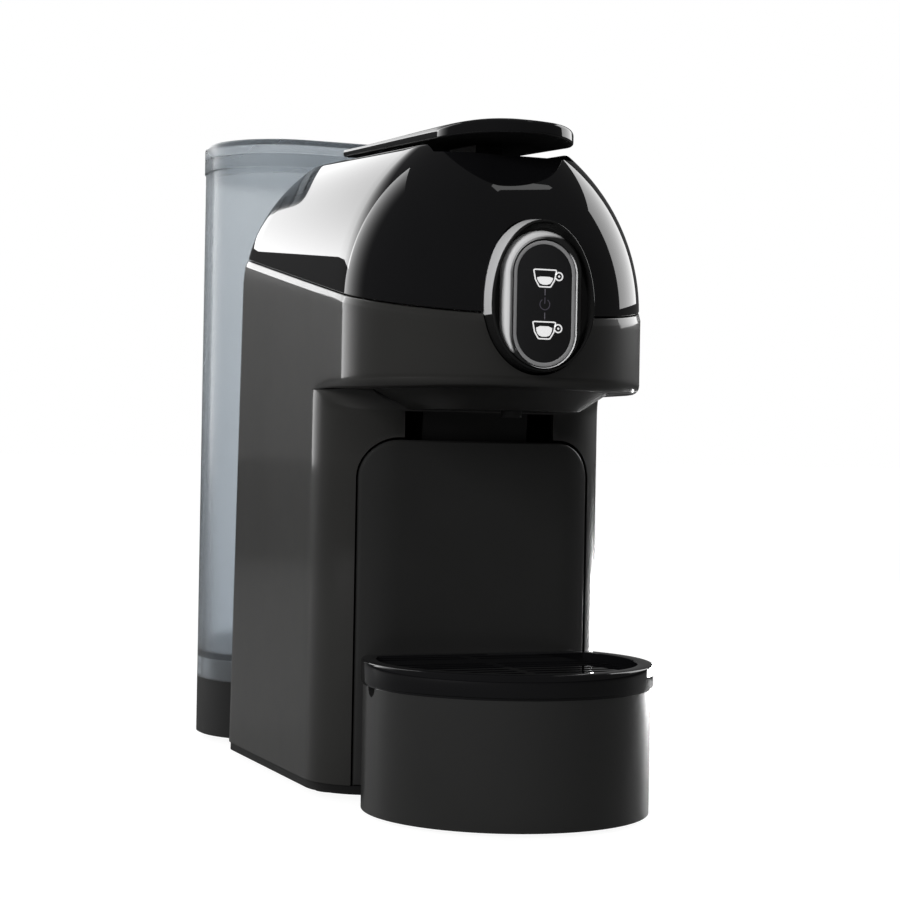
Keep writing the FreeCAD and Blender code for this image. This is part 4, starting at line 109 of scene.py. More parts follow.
def panel(name, centre, target, size, power, fade=None, mirrored=True, beam=180.0):
    """A rectangular area lamp that faces a target, with a beam angle, seen in reflections or not.

    Places and sizes are in metres and the power is in watts. fade is a direction, a length and
    an exponent: the strength is the share of that length that a point of the panel has gone
    along the direction, measured about its centre, to the power of the exponent.
    """
    lamp = bpy.data.lights.new(name, "AREA")
    lamp.shape = "RECTANGLE"
    lamp.size, lamp.size_y = size
    lamp.energy = power
    lamp.spread = np.radians(beam)
    if fade:
        direction, length, exponent = Vector(fade[0]).normalized(), fade[1], fade[2]
        middle = direction.dot(Vector(centre))
        lamp.use_nodes = True
        tree = lamp.node_tree
        place = tree.nodes.new("ShaderNodeNewGeometry")
        gone = dot(tree, place.outputs["Position"], direction)
        share = ramp(tree, gone, middle - 0.5 * length, middle + 0.5 * length)
        curve = tree.nodes.new("ShaderNodeMath")
        curve.operation = "POWER"
        curve.inputs[1].default_value = exponent
        tree.links.new(share, curve.inputs[0])
        tree.links.new(curve.outputs[0], tree.nodes["Emission"].inputs["Strength"])
    holder = bpy.data.objects.new(name, lamp)
    aim = (Vector(target) - Vector(centre)).normalized()
    holder.matrix_world = Matrix.Translation(centre) @ aim.to_track_quat("-Z", "Y").to_matrix().to_4x4()
    holder.visible_camera = False
    holder.visible_transmission = False
    holder.visible_glossy = mirrored
    scene.collection.objects.link(holder)


# The left panel brightens towards its rear edge, and the back one downwards.
TO_REAR, DOWN = (0.676, 0.737, 0), (0, 0, -1)
panel("panel_left", (-1.24, 1.06, 1.26), (-0.06, -0.02, 1.26), (1.01, 2.28), 28, (TO_REAR, 1.01, 1.9))
panel("panel_back", (-0.41, 1.82, 1.25), (-0.03, 0.05, 1.25), (1.47, 1.18), 31, (DOWN, 1.5, 2.1))
panel("panel_right", (1.457, 0.364, 0.95), (0.03, -0.10, 0.95), (1.09, 1.20), 13)
panel("panel_low", (0.36, 0.20, 0.035), (0.05, -0.10, 0.035), (0.30, 0.06), 0.16, beam=32)
panel("panel_top", (0.66, -0.52, 1.80), (0.0, -0.05, 0.20), (0.22, 0.12), 0.12)
panel("fill_front", (0.10, -1.90, 1.20), (0.0, -0.10, 0.15), (1.20, 0.80), 5, mirrored=False)
panel("fill_left", (-1.70, -0.80, 0.90), (-0.05, -0.10, 0.15), (0.90, 0.80), 30, mirrored=False)

# %% World
def seen_by_camera(tree):
    """One for rays from the camera and for rays that have come through the tank, else zero."""
    rays = tree.nodes.new("ShaderNodeLightPath")
    either = tree.nodes.new("ShaderNodeMath")
    either.operation = "MAXIMUM"
    tree.links.new(rays.outputs["Is Camera Ray"], either.inputs[0])
    tree.links.new(rays.outputs["Is Transmission Ray"], either.inputs[1])
    return either.outputs[0]


def white_sky(tree, strength):
    """White light from all round, at a strength."""
    sky = tree.nodes.new("ShaderNodeBackground")
    sky.inputs["Color"].default_value = (1, 1, 1, 1)
    sky.inputs["Strength"].default_value = strength
    return sky.outputs[0]


BACKDROP_STRENGTH, ROOM_STRENGTH = 1.0, 0.10
world = bpy.data.worlds.new("studio")
scene.world = world
world.use_nodes = True
tree = world.node_tree
tree.nodes.clear()
choose = tree.nodes.new("ShaderNodeMixShader")
result = tree.nodes.new("ShaderNodeOutputWorld")
tree.links.new(seen_by_camera(tree), choose.inputs["Fac"])
tree.links.new(white_sky(tree, ROOM_STRENGTH), choose.inputs[1])
tree.links.new(white_sky(tree, BACKDROP_STRENGTH), choose.inputs[2])
tree.links.new(choose.outputs[0], result.inputs["Surface"])

# %% Floor
FLOOR_SIZE, FLOOR_GREY = 60.0, 0.15
GLOW_NEAR, GLOW_FAR, NEAR, FAR = 0.93, 1.0, 0.4, 3.0
bpy.ops.mesh.primitive_plane_add(size=FLOOR_SIZE, location=(0, 0, 0))
floor = bpy.context.object
floor.name = "floor"
floor_paint = bpy.data.materials.new("floor_paint")
floor_paint.use_nodes = True
tree = floor_paint.node_tree
shader = tree.nodes["Principled BSDF"]
shader.inputs["Base Color"].default_value = (FLOOR_GREY, FLOOR_GREY, FLOOR_GREY, 1)
shader.inputs["Roughness"].default_value = 0.6
shader.inputs["Specular IOR Level"].default_value = 0.1
glow = tree.nodes.new("ShaderNodeEmission")
both = tree.nodes.new("ShaderNodeAddShader")
place = tree.nodes.new("ShaderNodeTexCoord")
distance = tree.nodes.new("ShaderNodeVectorMath")
distance.operation = "LENGTH"
level = tree.nodes.new("ShaderNodeMath")
level.operation = "MULTIPLY"
tree.links.new(place.outputs["Object"], distance.inputs[0])
tree.links.new(ramp(tree, distance.outputs["Value"], NEAR, FAR, GLOW_NEAR, GLOW_FAR), level.inputs[1])
tree.links.new(seen_by_camera(tree), level.inputs[0])
tree.links.new(level.outputs[0], glow.inputs["Strength"])
tree.links.new(shader.outputs[0], both.inputs[0])
tree.links.new(glow.outputs[0], both.inputs[1])
tree.links.new(both.outputs[0], tree.nodes["Material Output"].inputs["Surface"])
floor.data.materials.append(floor_paint)

# %% [markdown]
# ## Helpers for shapes
# Almost every moulding here is a stack of outlines: a rounded rectangle, a D or a slot shape
# whose size changes with height. One function turns such a grid of points into a mesh, and
# one function per outline gives the points, always as whole arrays.

# %% From a grid of points to a mesh
WELD, CREASE = 2e-6, np.radians(32.0)


def surface(points, closed=False, ends="flat"):
    """Mesh data over a grid of points in mm, shaped rows x columns x 3. Columns run round the shape.

    Row i, column j is joined to its neighbours by the quad (i, j), (i, j+1), (i+1, j+1), (i+1, j),
    with the last column next to the first. closed also joins the last row to the first. Otherwise
    the first and the last row are closed by one flat face each, unless ends is "open".
    """
    rows, columns = points.shape[:2]
    index = np.arange(rows * columns).reshape(rows, columns)
    low = index if closed else index[:-1]
    high = np.roll(index, -1, axis=0) if closed else index[1:]
    quads = np.stack([low, np.roll(low, -1, 1), np.roll(high, -1, 1), high], axis=-1).reshape(-1, 4)
    faces = quads.tolist()
    if not closed and ends == "flat":
        faces += [index[0, ::-1].tolist(), index[-1].tolist()]
    return points.reshape(-1, 3), faces


def solid(name, *parts):
    """A linked object from pairs of points and faces, smooth except where faces meet at an angle."""
    offset, all_points, all_faces = 0, [], []
    for points, faces in parts:
        all_points.append(points * MM)
        all_faces += [[corner + offset for corner in face] for face in faces]
        offset += len(points)
    mesh = bpy.data.meshes.new(name)
    mesh.from_pydata(np.concatenate(all_points).tolist(), [], all_faces)
    tidy = bmesh.new()
    tidy.from_mesh(mesh)
    bmesh.ops.remove_doubles(tidy, verts=tidy.verts, dist=WELD)
    bmesh.ops.recalc_face_normals(tidy, faces=tidy.faces)
    tidy.to_mesh(mesh)
    tidy.free()
    mesh.shade_smooth()
    mesh.set_sharp_from_angle(angle=CREASE)
    thing = bpy.data.objects.new(name, mesh)
    scene.collection.objects.link(thing)
    return thing


def carve(thing, *cutters):
    """Cut other solids out of a solid, keep the result as its mesh, and delete the cutters."""
    for cutter in cutters:
        step = thing.modifiers.new("cut", "BOOLEAN")
        step.operation = "DIFFERENCE"
        step.solver = "EXACT"
        step.object = cutter
    depsgraph = bpy.context.evaluated_depsgraph_get()
    result = bpy.data.meshes.new_from_object(thing.evaluated_get(depsgraph))
    thing.modifiers.clear()
    thing.data = result
    result.name = thing.name
    result.shade_smooth()
    result.set_sharp_from_angle(angle=CREASE)
    for cutter in cutters:
        bpy.data.objects.remove(cutter)


def settle(piece, body, slot, paint, *nodes):
    """Give a piece its finish and the body it moves with, and hide the solids it replaces. slot is not used.
    """
    piece.data.materials.clear()
    piece.data.materials.append(paint)
    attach(piece, body)
    if nodes:
        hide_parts(*nodes)
    print(f"{piece.name}: {len(piece.data.polygons)} faces on {body}")


def repaint(piece, paint, pick):
    """Give another finish to the faces that pick chooses from their centres and normals, in mm."""
    mesh = piece.data
    centres, normals = np.empty(3 * len(mesh.polygons)), np.empty(3 * len(mesh.polygons))
    mesh.polygons.foreach_get("center", centres)
    mesh.polygons.foreach_get("normal", normals)
    chosen = pick(centres.reshape(-1, 3) / MM, normals.reshape(-1, 3))
    mesh.materials.append(paint)
    index = np.where(chosen, len(mesh.materials) - 1, 0).astype(np.int32)
    mesh.polygons.foreach_set("material_index", index)
    mesh.update()


# %% Outlines
def columns_round(bend, run):
    """For each column of an outline: its corner, its angle, and how far on to the next corner it is."""
    corner = np.repeat(np.arange(4), bend + run)
    turn = np.concatenate([np.linspace(0, 90, bend + 1), np.full(run - 1, 90.0)])
    onward = np.concatenate([np.zeros(bend + 1), np.linspace(0, 1, run + 1)[1:-1]])
    return corner, np.radians(np.tile(turn, 4) + 90.0 * corner - 90.0), np.tile(onward, 4)


def rounded(half, front, rear, near, far, bend=12, run=2):
    """Plan of a rectangle with quarter-round corners: centre of a corner plus radius times (cos a, sin a).

    half is the half width; near and far are the radii at the front and the rear. Each may be a
    number or an array that has one row per outline, so a whole stack comes out at once.
    """
    corner, angle, onward = columns_round(bend, run)

    def at(which):
        in_front = (which == 0) | (which == 3)
        side = np.where(which < 2, 1.0, -1.0)
        radius = np.where(in_front, near, far)
        centre = np.where(in_front, front + radius, rear - radius)
        return side * (half - radius) + radius * np.cos(angle), centre + radius * np.sin(angle)

    x, y = at(corner)
    next_x, next_y = at((corner + 1) % 4)
    return x + onward * (next_x - x), y + onward * (next_y - y)


def stack(rows, shape=rounded, **options):
    """Points of a stack of outlines: each row is the outline's sizes and then its height."""
    table = np.array(rows, float)
    x, y = shape(*(table[:, [k]] for k in range(table.shape[1] - 1)), **options)
    return np.stack([x, y, np.broadcast_to(table[:, [-1]], x.shape)], axis=-1)


def block(x, y, z, corner=0.01, bend=1):
    """A plain box from three pairs of limits, for cutting."""
    middle, half = 0.5 * (x[0] + x[1]), 0.5 * (x[1] - x[0])
    points = stack([(half, y[0], y[1], corner, corner, height) for height in z], bend=bend)
    return surface(points + np.array([middle, 0.0, 0.0]))


# %% [markdown]
# ## Finishes
# The outside has only a few finishes: piano-black lacquer, a satin dark grey moulding, a
# smoked tank. Each one gets its grain from noise in Object coordinates, which are metres, so a
# scale of 2000 makes specks about half a millimetre wide on every piece alike.

# %% Recipes for plastics and metals
def shader_of(name):
    """A new node material: its tree and its main shader."""
    paint = bpy.data.materials.new(name)
    paint.use_nodes = True
    return paint, paint.node_tree, paint.node_tree.nodes["Principled BSDF"]


def noise(tree, scale, detail=2.0, stretch=(1.0, 1.0, 1.0)):
    """Noise in Object coordinates, with its features drawn out along an axis if asked."""
    where = tree.nodes.new("ShaderNodeTexCoord")
    aim = tree.nodes.new("ShaderNodeMapping")
    aim.inputs["Scale"].default_value = stretch
    speck = tree.nodes.new("ShaderNodeTexNoise")
    speck.inputs["Scale"].default_value = scale
    speck.inputs["Detail"].default_value = detail
    tree.links.new(where.outputs["Object"], aim.inputs["Vector"])
    tree.links.new(aim.outputs["Vector"], speck.inputs["Vector"])
    return speck.outputs["Fac"]


def spread(tree, value, low, high):
    """The middle of a noise mapped onto a narrow range, for a roughness that is never quite even."""
    return ramp(tree, value, 0.3, 0.7, low, high)


def tones(tree, value, first, second):
    """A colour that goes from one tone to another as a value goes from zero to one."""
    blend = tree.nodes.new("ShaderNodeMix")
    blend.data_type = "RGBA"
    blend.inputs["A"].default_value = (*first, 1)
    blend.inputs["B"].default_value = (*second, 1)
    tree.links.new(value, blend.inputs["Factor"])
    return blend.outputs["Result"]


def grain(tree, shader, value, depth):
    """A bump as deep as the real grain, in metres."""
    relief = tree.nodes.new("ShaderNodeBump")
    relief.inputs["Strength"].default_value = 1.0
    relief.inputs["Distance"].default_value = depth
    tree.links.new(value, relief.inputs["Height"])
    tree.links.new(relief.outputs["Normal"], shader.inputs["Normal"])


def moulded(name, colour, rough, speck=1800.0, depth=1.2e-5, drift=0.12, metallic=0.0, coat=0.0,
            gloss=0.5, sheen=0.12):
    """Moulded or cast finish: broad drift in tone and roughness, a fine grain and a clear coat.

    depth is the grain's, in metres, gloss the specular level, and sheen the coat's roughness.
    """
    paint, tree, shader = shader_of(name)
    broad = noise(tree, 28.0, 3.0)
    lighter = tuple(min(1.0, c * (1 + drift)) for c in colour)
    darker = tuple(c * (1 - drift) for c in colour)
    tree.links.new(tones(tree, broad, darker, lighter), shader.inputs["Base Color"])
    tree.links.new(spread(tree, broad, 0.92 * rough, 1.08 * rough), shader.inputs["Roughness"])
    grain(tree, shader, noise(tree, speck), depth)
    shader.inputs["Metallic"].default_value = metallic
    shader.inputs["Coat Weight"].default_value = coat
    shader.inputs["Coat Roughness"].default_value = sheen
    shader.inputs["Specular IOR Level"].default_value = gloss
    return paint


def painted_glow(paint, strength):
    """Make a finish give off an even white light, a painted glow on a part that is no lamp."""
    shader = paint.node_tree.nodes["Principled BSDF"]
    shader.inputs["Emission Color"].default_value = (1, 1, 1, 1)
    shader.inputs["Emission Strength"].default_value = strength
    return paint


def lacquered(name, colour, rough=0.05, coat=1.0):
    """Piano-black moulding: a polished base under a clear gloss, with the faintest waviness."""
    paint, tree, shader = shader_of(name)
    broad = noise(tree, 35.0, 2.0)
    lighter = tuple(1.3 * c for c in colour)
    tree.links.new(tones(tree, broad, colour, lighter), shader.inputs["Base Color"])
    tree.links.new(spread(tree, noise(tree, 160.0, 4.0), rough, 1.6 * rough), shader.inputs["Roughness"])
    grain(tree, shader, broad, 6e-6)
    shader.inputs["Coat Weight"].default_value = coat
    shader.inputs["Coat Roughness"].default_value = 0.02
    shader.inputs["Coat IOR"].default_value = 1.5
    shader.inputs["Specular IOR Level"].default_value = 0.0
    return paint


def paint_reflection_by_facing(paint, light, toward, low, high):
    """Paint a reflection: faces that look along a direction get a lighter tone, blending where the two
    directions part.

    The share of the light tone rises from 0 to 1 while normal times direction goes from low to high.
    """
    tree = paint.node_tree
    shader = tree.nodes["Principled BSDF"]
    where = tree.nodes.new("ShaderNodeTexCoord")
    facing = dot(tree, where.outputs["Normal"], toward)
    blend = tree.nodes.new("ShaderNodeMix")
    blend.data_type = "RGBA"
    blend.inputs["B"].default_value = (*light, 1)
    tree.links.new(ramp(tree, facing, low, high), blend.inputs["Factor"])
    tree.links.new(shader.inputs["Base Color"].links[0].from_socket, blend.inputs["A"])
    tree.links.new(blend.outputs["Result"], shader.inputs["Base Color"])


def drawn_metal(name, colour, rough):
    """Drawn or turned metal with fine upright lines: noise fifty times as long along Z as across."""
    paint, tree, shader = shader_of(name)
    lines = noise(tree, 2600.0, stretch=(1.0, 1.0, 0.02))
    darker = tuple(0.86 * c for c in colour)
    tree.links.new(tones(tree, lines, darker, colour), shader.inputs["Base Color"])
    tree.links.new(spread(tree, lines, 0.8 * rough, 1.2 * rough), shader.inputs["Roughness"])
    grain(tree, shader, lines, 4e-6)
    shader.inputs["Metallic"].default_value = 1.0
    return paint


# %% The finishes of this machine
lacquer = lacquered("black_lacquer", (0.004, 0.004, 0.0045))
canopy_satin = moulded("satin_canopy", (0.045, 0.0445, 0.0435), 0.45, coat=0.15)
satin = moulded("satin_graphite", (0.024, 0.0236, 0.0224), 0.42, coat=0.8, gloss=0.35, sheen=0.06)
tray_satin = moulded("satin_tray", (0.020, 0.020, 0.0196), 0.36, coat=0.7)
door_satin = moulded("satin_door", (0.020, 0.020, 0.0197), 0.34, coat=0.3)
matt_dark = moulded("matt_seat", (0.022, 0.022, 0.022), 0.62, depth=2.2e-5)
rocker_satin = moulded("rocker_face", (0.014, 0.014, 0.015), 0.45, speck=2600, depth=5e-6)
trim_silver = moulded("silver_trim", (0.50, 0.50, 0.505), 0.34, speck=3000, depth=3e-6, metallic=0.3)
rubber = moulded("soft_rubber", (0.014, 0.014, 0.014), 0.75, depth=3e-5)
white_moulding = moulded("natural_white", (0.72, 0.71, 0.68), 0.42, drift=0.04)
hose_silicone = moulded("milky_silicone", (0.66, 0.66, 0.63), 0.35, drift=0.05)
aluminium = moulded("die_cast", (0.42, 0.42, 0.43), 0.48, speck=900, depth=4e-5, metallic=1.0)
brass = drawn_metal("turned_brass", (0.62, 0.42, 0.16), 0.28)
steel = drawn_metal("drawn_steel", (0.56, 0.57, 0.58), 0.25)
board_green = moulded("circuit_board", (0.012, 0.11, 0.045), 0.34, drift=0.2)
coil_case = moulded("coil_case", (0.035, 0.06, 0.14), 0.5)
# The white marks get a painted glow on top of their print.
icon_white = painted_glow(moulded("white_print_with_painted_glow", (0.80, 0.80, 0.80), 0.5, depth=2e-6, drift=0.03), 0.45)
icon_grey = moulded("printed_grey", (0.20, 0.19, 0.22), 0.5, depth=2e-6, drift=0.03)
icon_dim = moulded("printed_dim", (0.11, 0.10, 0.13), 0.5, depth=2e-6, drift=0.03)
matt_black = moulded("matt_black", (0.009, 0.009, 0.009), 0.6, depth=2.2e-5)
panel_black = lacquered("panel_black", (0.010, 0.010, 0.010), 0.16, 0.6)
frame_gloss_painted_reflection = lacquered("frame_gloss_painted_reflection", (0.018, 0.018, 0.018), 0.16, 1.0)
# The frame round the rocker gets a painted reflection: light grey on the faces that look left and up.
LEFT_AND_UP = (-0.75, 0.0, 0.66)
paint_reflection_by_facing(frame_gloss_painted_reflection, (0.82, 0.82, 0.825), LEFT_AND_UP, 0.14, 0.26)
# A light grey that stands for a painted reflection on the side of the control panel.
painted_reflection_grey = moulded("painted_reflection_grey", (0.58, 0.58, 0.585), 0.30, speck=3000, depth=3e-6, drift=0.05)


def smoked(name, rough, density):
    """Clear plastic with a grey-blue tint that deepens with the way through it.

    Its surface has a darker tone at 30 mm of height and a lighter one at 260 mm. Light that has gone
    a distance d through it keeps exp(-density times (1 - colour) times d).
    """
    paint, tree, shader = shader_of(name)
    place = tree.nodes.new("ShaderNodeTexCoord")
    parts = tree.nodes.new("ShaderNodeSeparateXYZ")
    tree.links.new(place.outputs["Object"], parts.inputs["Vector"])
    height = ramp(tree, parts.outputs["Z"], 0.03, 0.26)
    tone = tones(tree, height, (0.71, 0.745, 0.78), (0.87, 0.895, 0.915))
    tree.links.new(tone, shader.inputs["Base Color"])
    broad = noise(tree, 14.0, 2.0)
    tree.links.new(spread(tree, broad, 0.9 * rough, 1.1 * rough), shader.inputs["Roughness"])
    grain(tree, shader, noise(tree, 900.0), 5e-6)
    shader.inputs["Transmission Weight"].default_value = 0.92
    shader.inputs["IOR"].default_value = 1.45
    tint = tree.nodes.new("ShaderNodeVolumeAbsorption")
    tint.inputs["Color"].default_value = (0.51, 0.57, 0.615, 1)
    tint.inputs["Density"].default_value = density
    tree.links.new(tint.outputs[0], tree.nodes["Material Output"].inputs["Volume"])
    return paint


tank_smoke = smoked("smoked_tank", 0.22, 140.0)
lid_smoke = smoked("smoked_lid", 0.26, 75.0)

# %% Every solid gets the finish of its material slot
finishes = {
    "housing_plastic": satin, "gloss_black": lacquer, "dark_plastic": matt_black,
    "drawer_plastic": tray_satin, "rocker_grey": rocker_satin, "silver_trim": trim_silver,
    "panel_edge": lacquer, "tank_plastic": tank_smoke, "lid_plastic": lid_smoke,
    "seat_plastic": matt_dark, "white_plastic": white_moulding, "rubber_black": rubber,
    "silicone_hose": hose_silicone, "steel": steel, "cast_aluminium": aluminium, "brass": brass,
    "board_green": board_green, "coil_case": coil_case,
}
slot_of = {entry["node"]: entry["material_slot"] for entry in frame["record"]["subparts"]}
for name, node in frame["nodes"].items():
    for place in node.material_slots:
        place.link = "OBJECT"
        place.material = canopy_satin if name == "spout_canopy" else finishes[slot_of[name]]
print("finishes given to", len(slot_of), "solids")

# %% [markdown]
# ## The head's skin
# The black dome and the grey housing share one surface: upright below a line that climbs
# towards the rear, and above it a circular side profile that draws in while the rear corners
# tighten. Both pieces read it from one function, so their joint has the same shadow gap all round.

# %% One function for the skin of head and dome
# Half the width, and the depths of the rear, of the head's front and of the column's front.
HALF, REAR, HEAD_FRONT, COLUMN_FRONT = 62.0, 79.0, -129.0, -74.5
# Height at the front and slope of the dome's start line, then the deck's rise over it and slope.
START_Z, START_SLOPE, DECK, DECK_SLOPE = 191.0, 0.096, 60.0, 0.06
# Joint between dome and housing: height of the housing's edge, its slope, and the shadow gap.
SEAM_Z, SEAM_SLOPE, SEAM_GAP = 189.2, 0.176, 0.5
# Radius of the side profile, and how fast the rear corners tighten with its inset.
PROFILE, TIGHTEN = 83.0, 0.73
# Plan radii: the head's front, the rear where the dome starts, the rear at the foot, its growth.
HEAD_CORNER, REAR_CORNER, FOOT_CORNER, WIDEN = 50.0, 31.2, 20.0, 0.053
# Wall of both mouldings, and how far the dome steps back behind the housing's edge.
WALL, STEP = 2.5, 0.6
# The control panel's half width, its widest height, and its reach above and below that.
EGG_HALF, EGG_Z, EGG_RISE, EGG_DROP = 21.8, 192.8, 33.0, 25.5
EGG_POINTS = 120
ROUND = {"bend": 20, "run": 16}


def skin(rise, inside=0.0, extra=0.0):
    """Points of the head's skin at a rise above the dome's start line.

    The inset is the profile radius minus the square root of its square minus the rise's square;
    below the start line it is just the wall. The height is the start line's plus the rise, on a
    slope that goes evenly from the start line's to the deck's.
    """
    rise = np.asarray(rise, float)
    high = np.maximum(rise, 0.0)
    inset = PROFILE - np.sqrt((PROFILE - inside) ** 2 - high**2) + extra
    far = REAR_CORNER - inside - TIGHTEN * (inset - inside) + WIDEN * np.minimum(rise, 0.0)
    x, y = rounded(HALF - inset, HEAD_FRONT + inset, REAR - inset, HEAD_CORNER - inset, far, **ROUND)
    slope = START_SLOPE + high / DECK * (DECK_SLOPE - START_SLOPE)
    return np.stack(np.broadcast_arrays(x, y, START_Z + rise + slope * (y - HEAD_FRONT)), axis=-1)


def rise_at(height, slope, inside=0.0):
    """Rise of the skin where it meets a plane that climbs from a height at the head's front."""
    rise = np.zeros((1, 4 * (ROUND["bend"] + ROUND["run"])))
    for _ in range(8):
        back = skin(rise, inside)[..., 1] - HEAD_FRONT
        shrink = np.where(rise > 0, (START_SLOPE - DECK_SLOPE) / DECK * back, 0.0)
        rise = (height - START_Z + (slope - START_SLOPE) * back) / (1 - shrink)
    return rise


def slope_up(points, height, slope):
    """Lift points so that height zero becomes a plane that climbs from a height at the head's front."""
    lifted = points.copy()
    lifted[..., 2] += height + slope * (points[..., 1] - HEAD_FRONT)
    return lifted


def egg(grow, y):
    """Egg outline at a depth: x = half width times cos a, z = rise or drop times sin a."""
    angle = np.linspace(0, 2 * np.pi, EGG_POINTS, endpoint=False)
    reach = np.where(np.sin(angle) > 0, EGG_RISE, EGG_DROP) + grow
    x, z = (EGG_HALF + grow) * np.cos(angle), EGG_Z + reach * np.sin(angle)
    return np.stack([x, np.full(EGG_POINTS, float(y)), z], axis=-1)


def egg_cutter():
    """Egg-shaped hole through the head's front, with 0.3 mm of play."""
    return solid("egg_cut", surface(np.stack([egg(0.3, -140.0), egg(0.3, -105.0)])))


# %% [markdown]
# ## The gloss dome
# It is a shell about 2 mm thick. Its skin is a grid, its top has a channel that the lever closes
# into, and booleans open the capsule slot, the slots of the lever's arms and the egg-shaped
# seat of the control panel. Rounding the top edge inside the grid keeps its highlight soft.

# %% Dome
RIDGE, BEVEL, BEVEL_IN = 4.0, 1.2, 1.5
CHANNEL_HALF, CHANNEL_REAR = 29.8, 40.0
SLOT_HALF, SLOT_DEPTHS = 19.2, (-78.9, -49.1)
ARM_X, ARM_SLOT_HALF, ARM_SLOT_DEPTHS = 20.0, 2.5, (3.0, 37.0)
THROUGH_DECK = (225.0, 275.0)
FAR_AHEAD, FAR_BEHIND = -300.0, 300.0

shoulder = DECK + RIDGE - STEP
low_edge, low_inner = (rise_at(SEAM_Z + SEAM_GAP, SEAM_SLOPE, inset) for inset in (STEP, WALL))
way = np.linspace(0, 1, 56)[:, None]
outer = skin(low_edge + (shoulder - BEVEL - low_edge) * way, STEP)
turn_in = np.radians([[20.0], [45.0], [70.0], [90.0]])
edge = skin(shoulder - BEVEL * (1 - np.sin(turn_in)) ** 1.5, STEP, BEVEL_IN * (1 - np.cos(turn_in)))
inner = skin(low_inner + (DECK - WALL - low_inner) * way[::-2], WALL)
lip = np.concatenate([skin(low_edge, STEP, 0.25), skin(low_edge + 0.25, STEP)])
shell = np.concatenate([inner, skin(low_inner, WALL), lip, outer[1:], edge])
dome = solid("gloss_dome", surface(shell))
points, faces = block((-CHANNEL_HALF, CHANNEL_HALF), (FAR_AHEAD, CHANNEL_REAR), (0.0, 60.0))
channel = solid("channel_cut", (slope_up(points, START_Z + DECK, DECK_SLOPE), faces))
slot = solid("slot_cut", block((-SLOT_HALF, SLOT_HALF), SLOT_DEPTHS, THROUGH_DECK, 1.0, 4))
arm_slots = [
    solid("arm_cut", block((x - ARM_SLOT_HALF, x + ARM_SLOT_HALF), ARM_SLOT_DEPTHS, THROUGH_DECK, 1.2, 4))
    for x in (-ARM_X, ARM_X)
]
carve(dome, channel, slot, *arm_slots, egg_cutter())
settle(dome, "machine", "gloss_black", lacquer, "top_cover")

# %% [markdown]
# ## The grey housing
# Column and head are one moulding. The grid climbs the outside, turns over the chamfer that
# glints under the dome, and comes down the inside, so the last row meets the first and the
# wall has its real thickness. Openings are cut out of it afterwards.

# %% Housing
# Lower end, underside of the head, blend between the two, column's corner, rounding of the head.
FLOOR_Z, HEAD_Z, ARMPIT, COLUMN_CORNER, EDGE = 6.5, 161.7, 8.0, 28.0, 3.5
# The rounding of the head's lower edge begins at this depth and is full this far in front of it.
FADE_FROM, FADE_OVER = -50.0, 16.0
# Rounding of the housing's upper edge, under the dome.
LIP = 0.6
# The drawer's front: half width, lower and upper end, top corners and the gap all round.
DOOR_HALF, DOOR_LOW, DOOR_HIGH, DOOR_CORNER, DOOR_GAP = 49.2, 6.8, 142.3, 15.0, 1.0


def column_rows(heights, reach, inside):
    """Outlines of the column: its front comes forward by reach and its rear corners widen upwards."""
    z, reach = np.asarray(heights, float)[:, None], np.asarray(reach, float)[:, None]
    far = FOOT_CORNER + WIDEN * z - inside
    near = COLUMN_CORNER + reach - inside
    x, y = rounded(HALF - inside, COLUMN_FRONT - reach + inside, REAR - inside, near, far, **ROUND)
    return np.stack(np.broadcast_arrays(x, y, z), axis=-1)


def head_edge(angles):
    """Rounded lower edge of the head: a quarter circle that fades out where the column's side begins."""
    depth = skin(np.zeros((1, 1)))[..., 1]
    fade = np.clip((FADE_FROM - depth) / FADE_OVER, 0, 1)
    rows = []
    for angle in angles:
        inset = EDGE * (1 - np.sin(angle))
        x, y = rounded(HALF - inset * fade, HEAD_FRONT + inset, REAR, HEAD_CORNER - inset * fade,
                       FOOT_CORNER + WIDEN * HEAD_Z, **ROUND)
        z = HEAD_Z + EDGE * (1 - np.cos(angle)) * fade
        rows.append(np.stack(np.broadcast_arrays(x, y, z), axis=-1))
    return np.concatenate(rows)


seam = rise_at(SEAM_Z, SEAM_SLOPE)
start = HEAD_Z + EDGE - START_Z - START_SLOPE * (skin(np.zeros((1, 1)))[..., 1] - HEAD_FRONT)
turn_in = np.radians([[25.0], [50.0], [72.0], [90.0]])
bend_in = np.radians(np.linspace(0, 90, 7))
way = np.linspace(0, 1, 12)[:, None]
outside = np.concatenate([
    column_rows([FLOOR_Z, FLOOR_Z + 0.5], [-0.5, 0.0], 0.0),
    column_rows(np.linspace(20, HEAD_Z - ARMPIT, 8), np.zeros(8), 0.0),
    column_rows(HEAD_Z - ARMPIT * (1 - np.sin(bend_in)), ARMPIT * (1 - np.cos(bend_in)), 0.0),
    head_edge(np.radians([0.0, 18.0, 36.0, 54.0, 72.0, 90.0])),
    skin(start + (seam - 3.0 - start) * way[1:-1]),
    skin(seam - np.array([[3.0], [2.7], [1.6], [LIP]]), 0.0, np.array([[0.0], [0.05], [0.33], [LIP]])),
    skin(seam - LIP * (1 - np.sin(turn_in)), 0.0, LIP + LIP * (1 - np.cos(turn_in))),
])
seam_inner = rise_at(SEAM_Z, SEAM_SLOPE, WALL)
inner_start = HEAD_Z + WALL - START_Z - START_SLOPE * (skin(np.zeros((1, 1)), WALL)[..., 1] - HEAD_FRONT)
inside = np.concatenate([
    skin(seam_inner + (inner_start - seam_inner) * way[::3], WALL),
    column_rows([HEAD_Z + WALL, 90.0, FLOOR_Z], [0.0, 0.0, 0.0], WALL),
])
housing = solid("housing_shell", surface(np.concatenate([outside, inside]), closed=True))


def arch_cutter(name, half, low, high, corner, front, rear):
    """Door-shaped cutter along Y: a rectangle whose top corners are rounded."""
    points = stack([(half, low, high, 0.01, corner, y) for y in (front, rear)], bend=10)
    return solid(name, surface(points[..., [0, 2, 1]]))


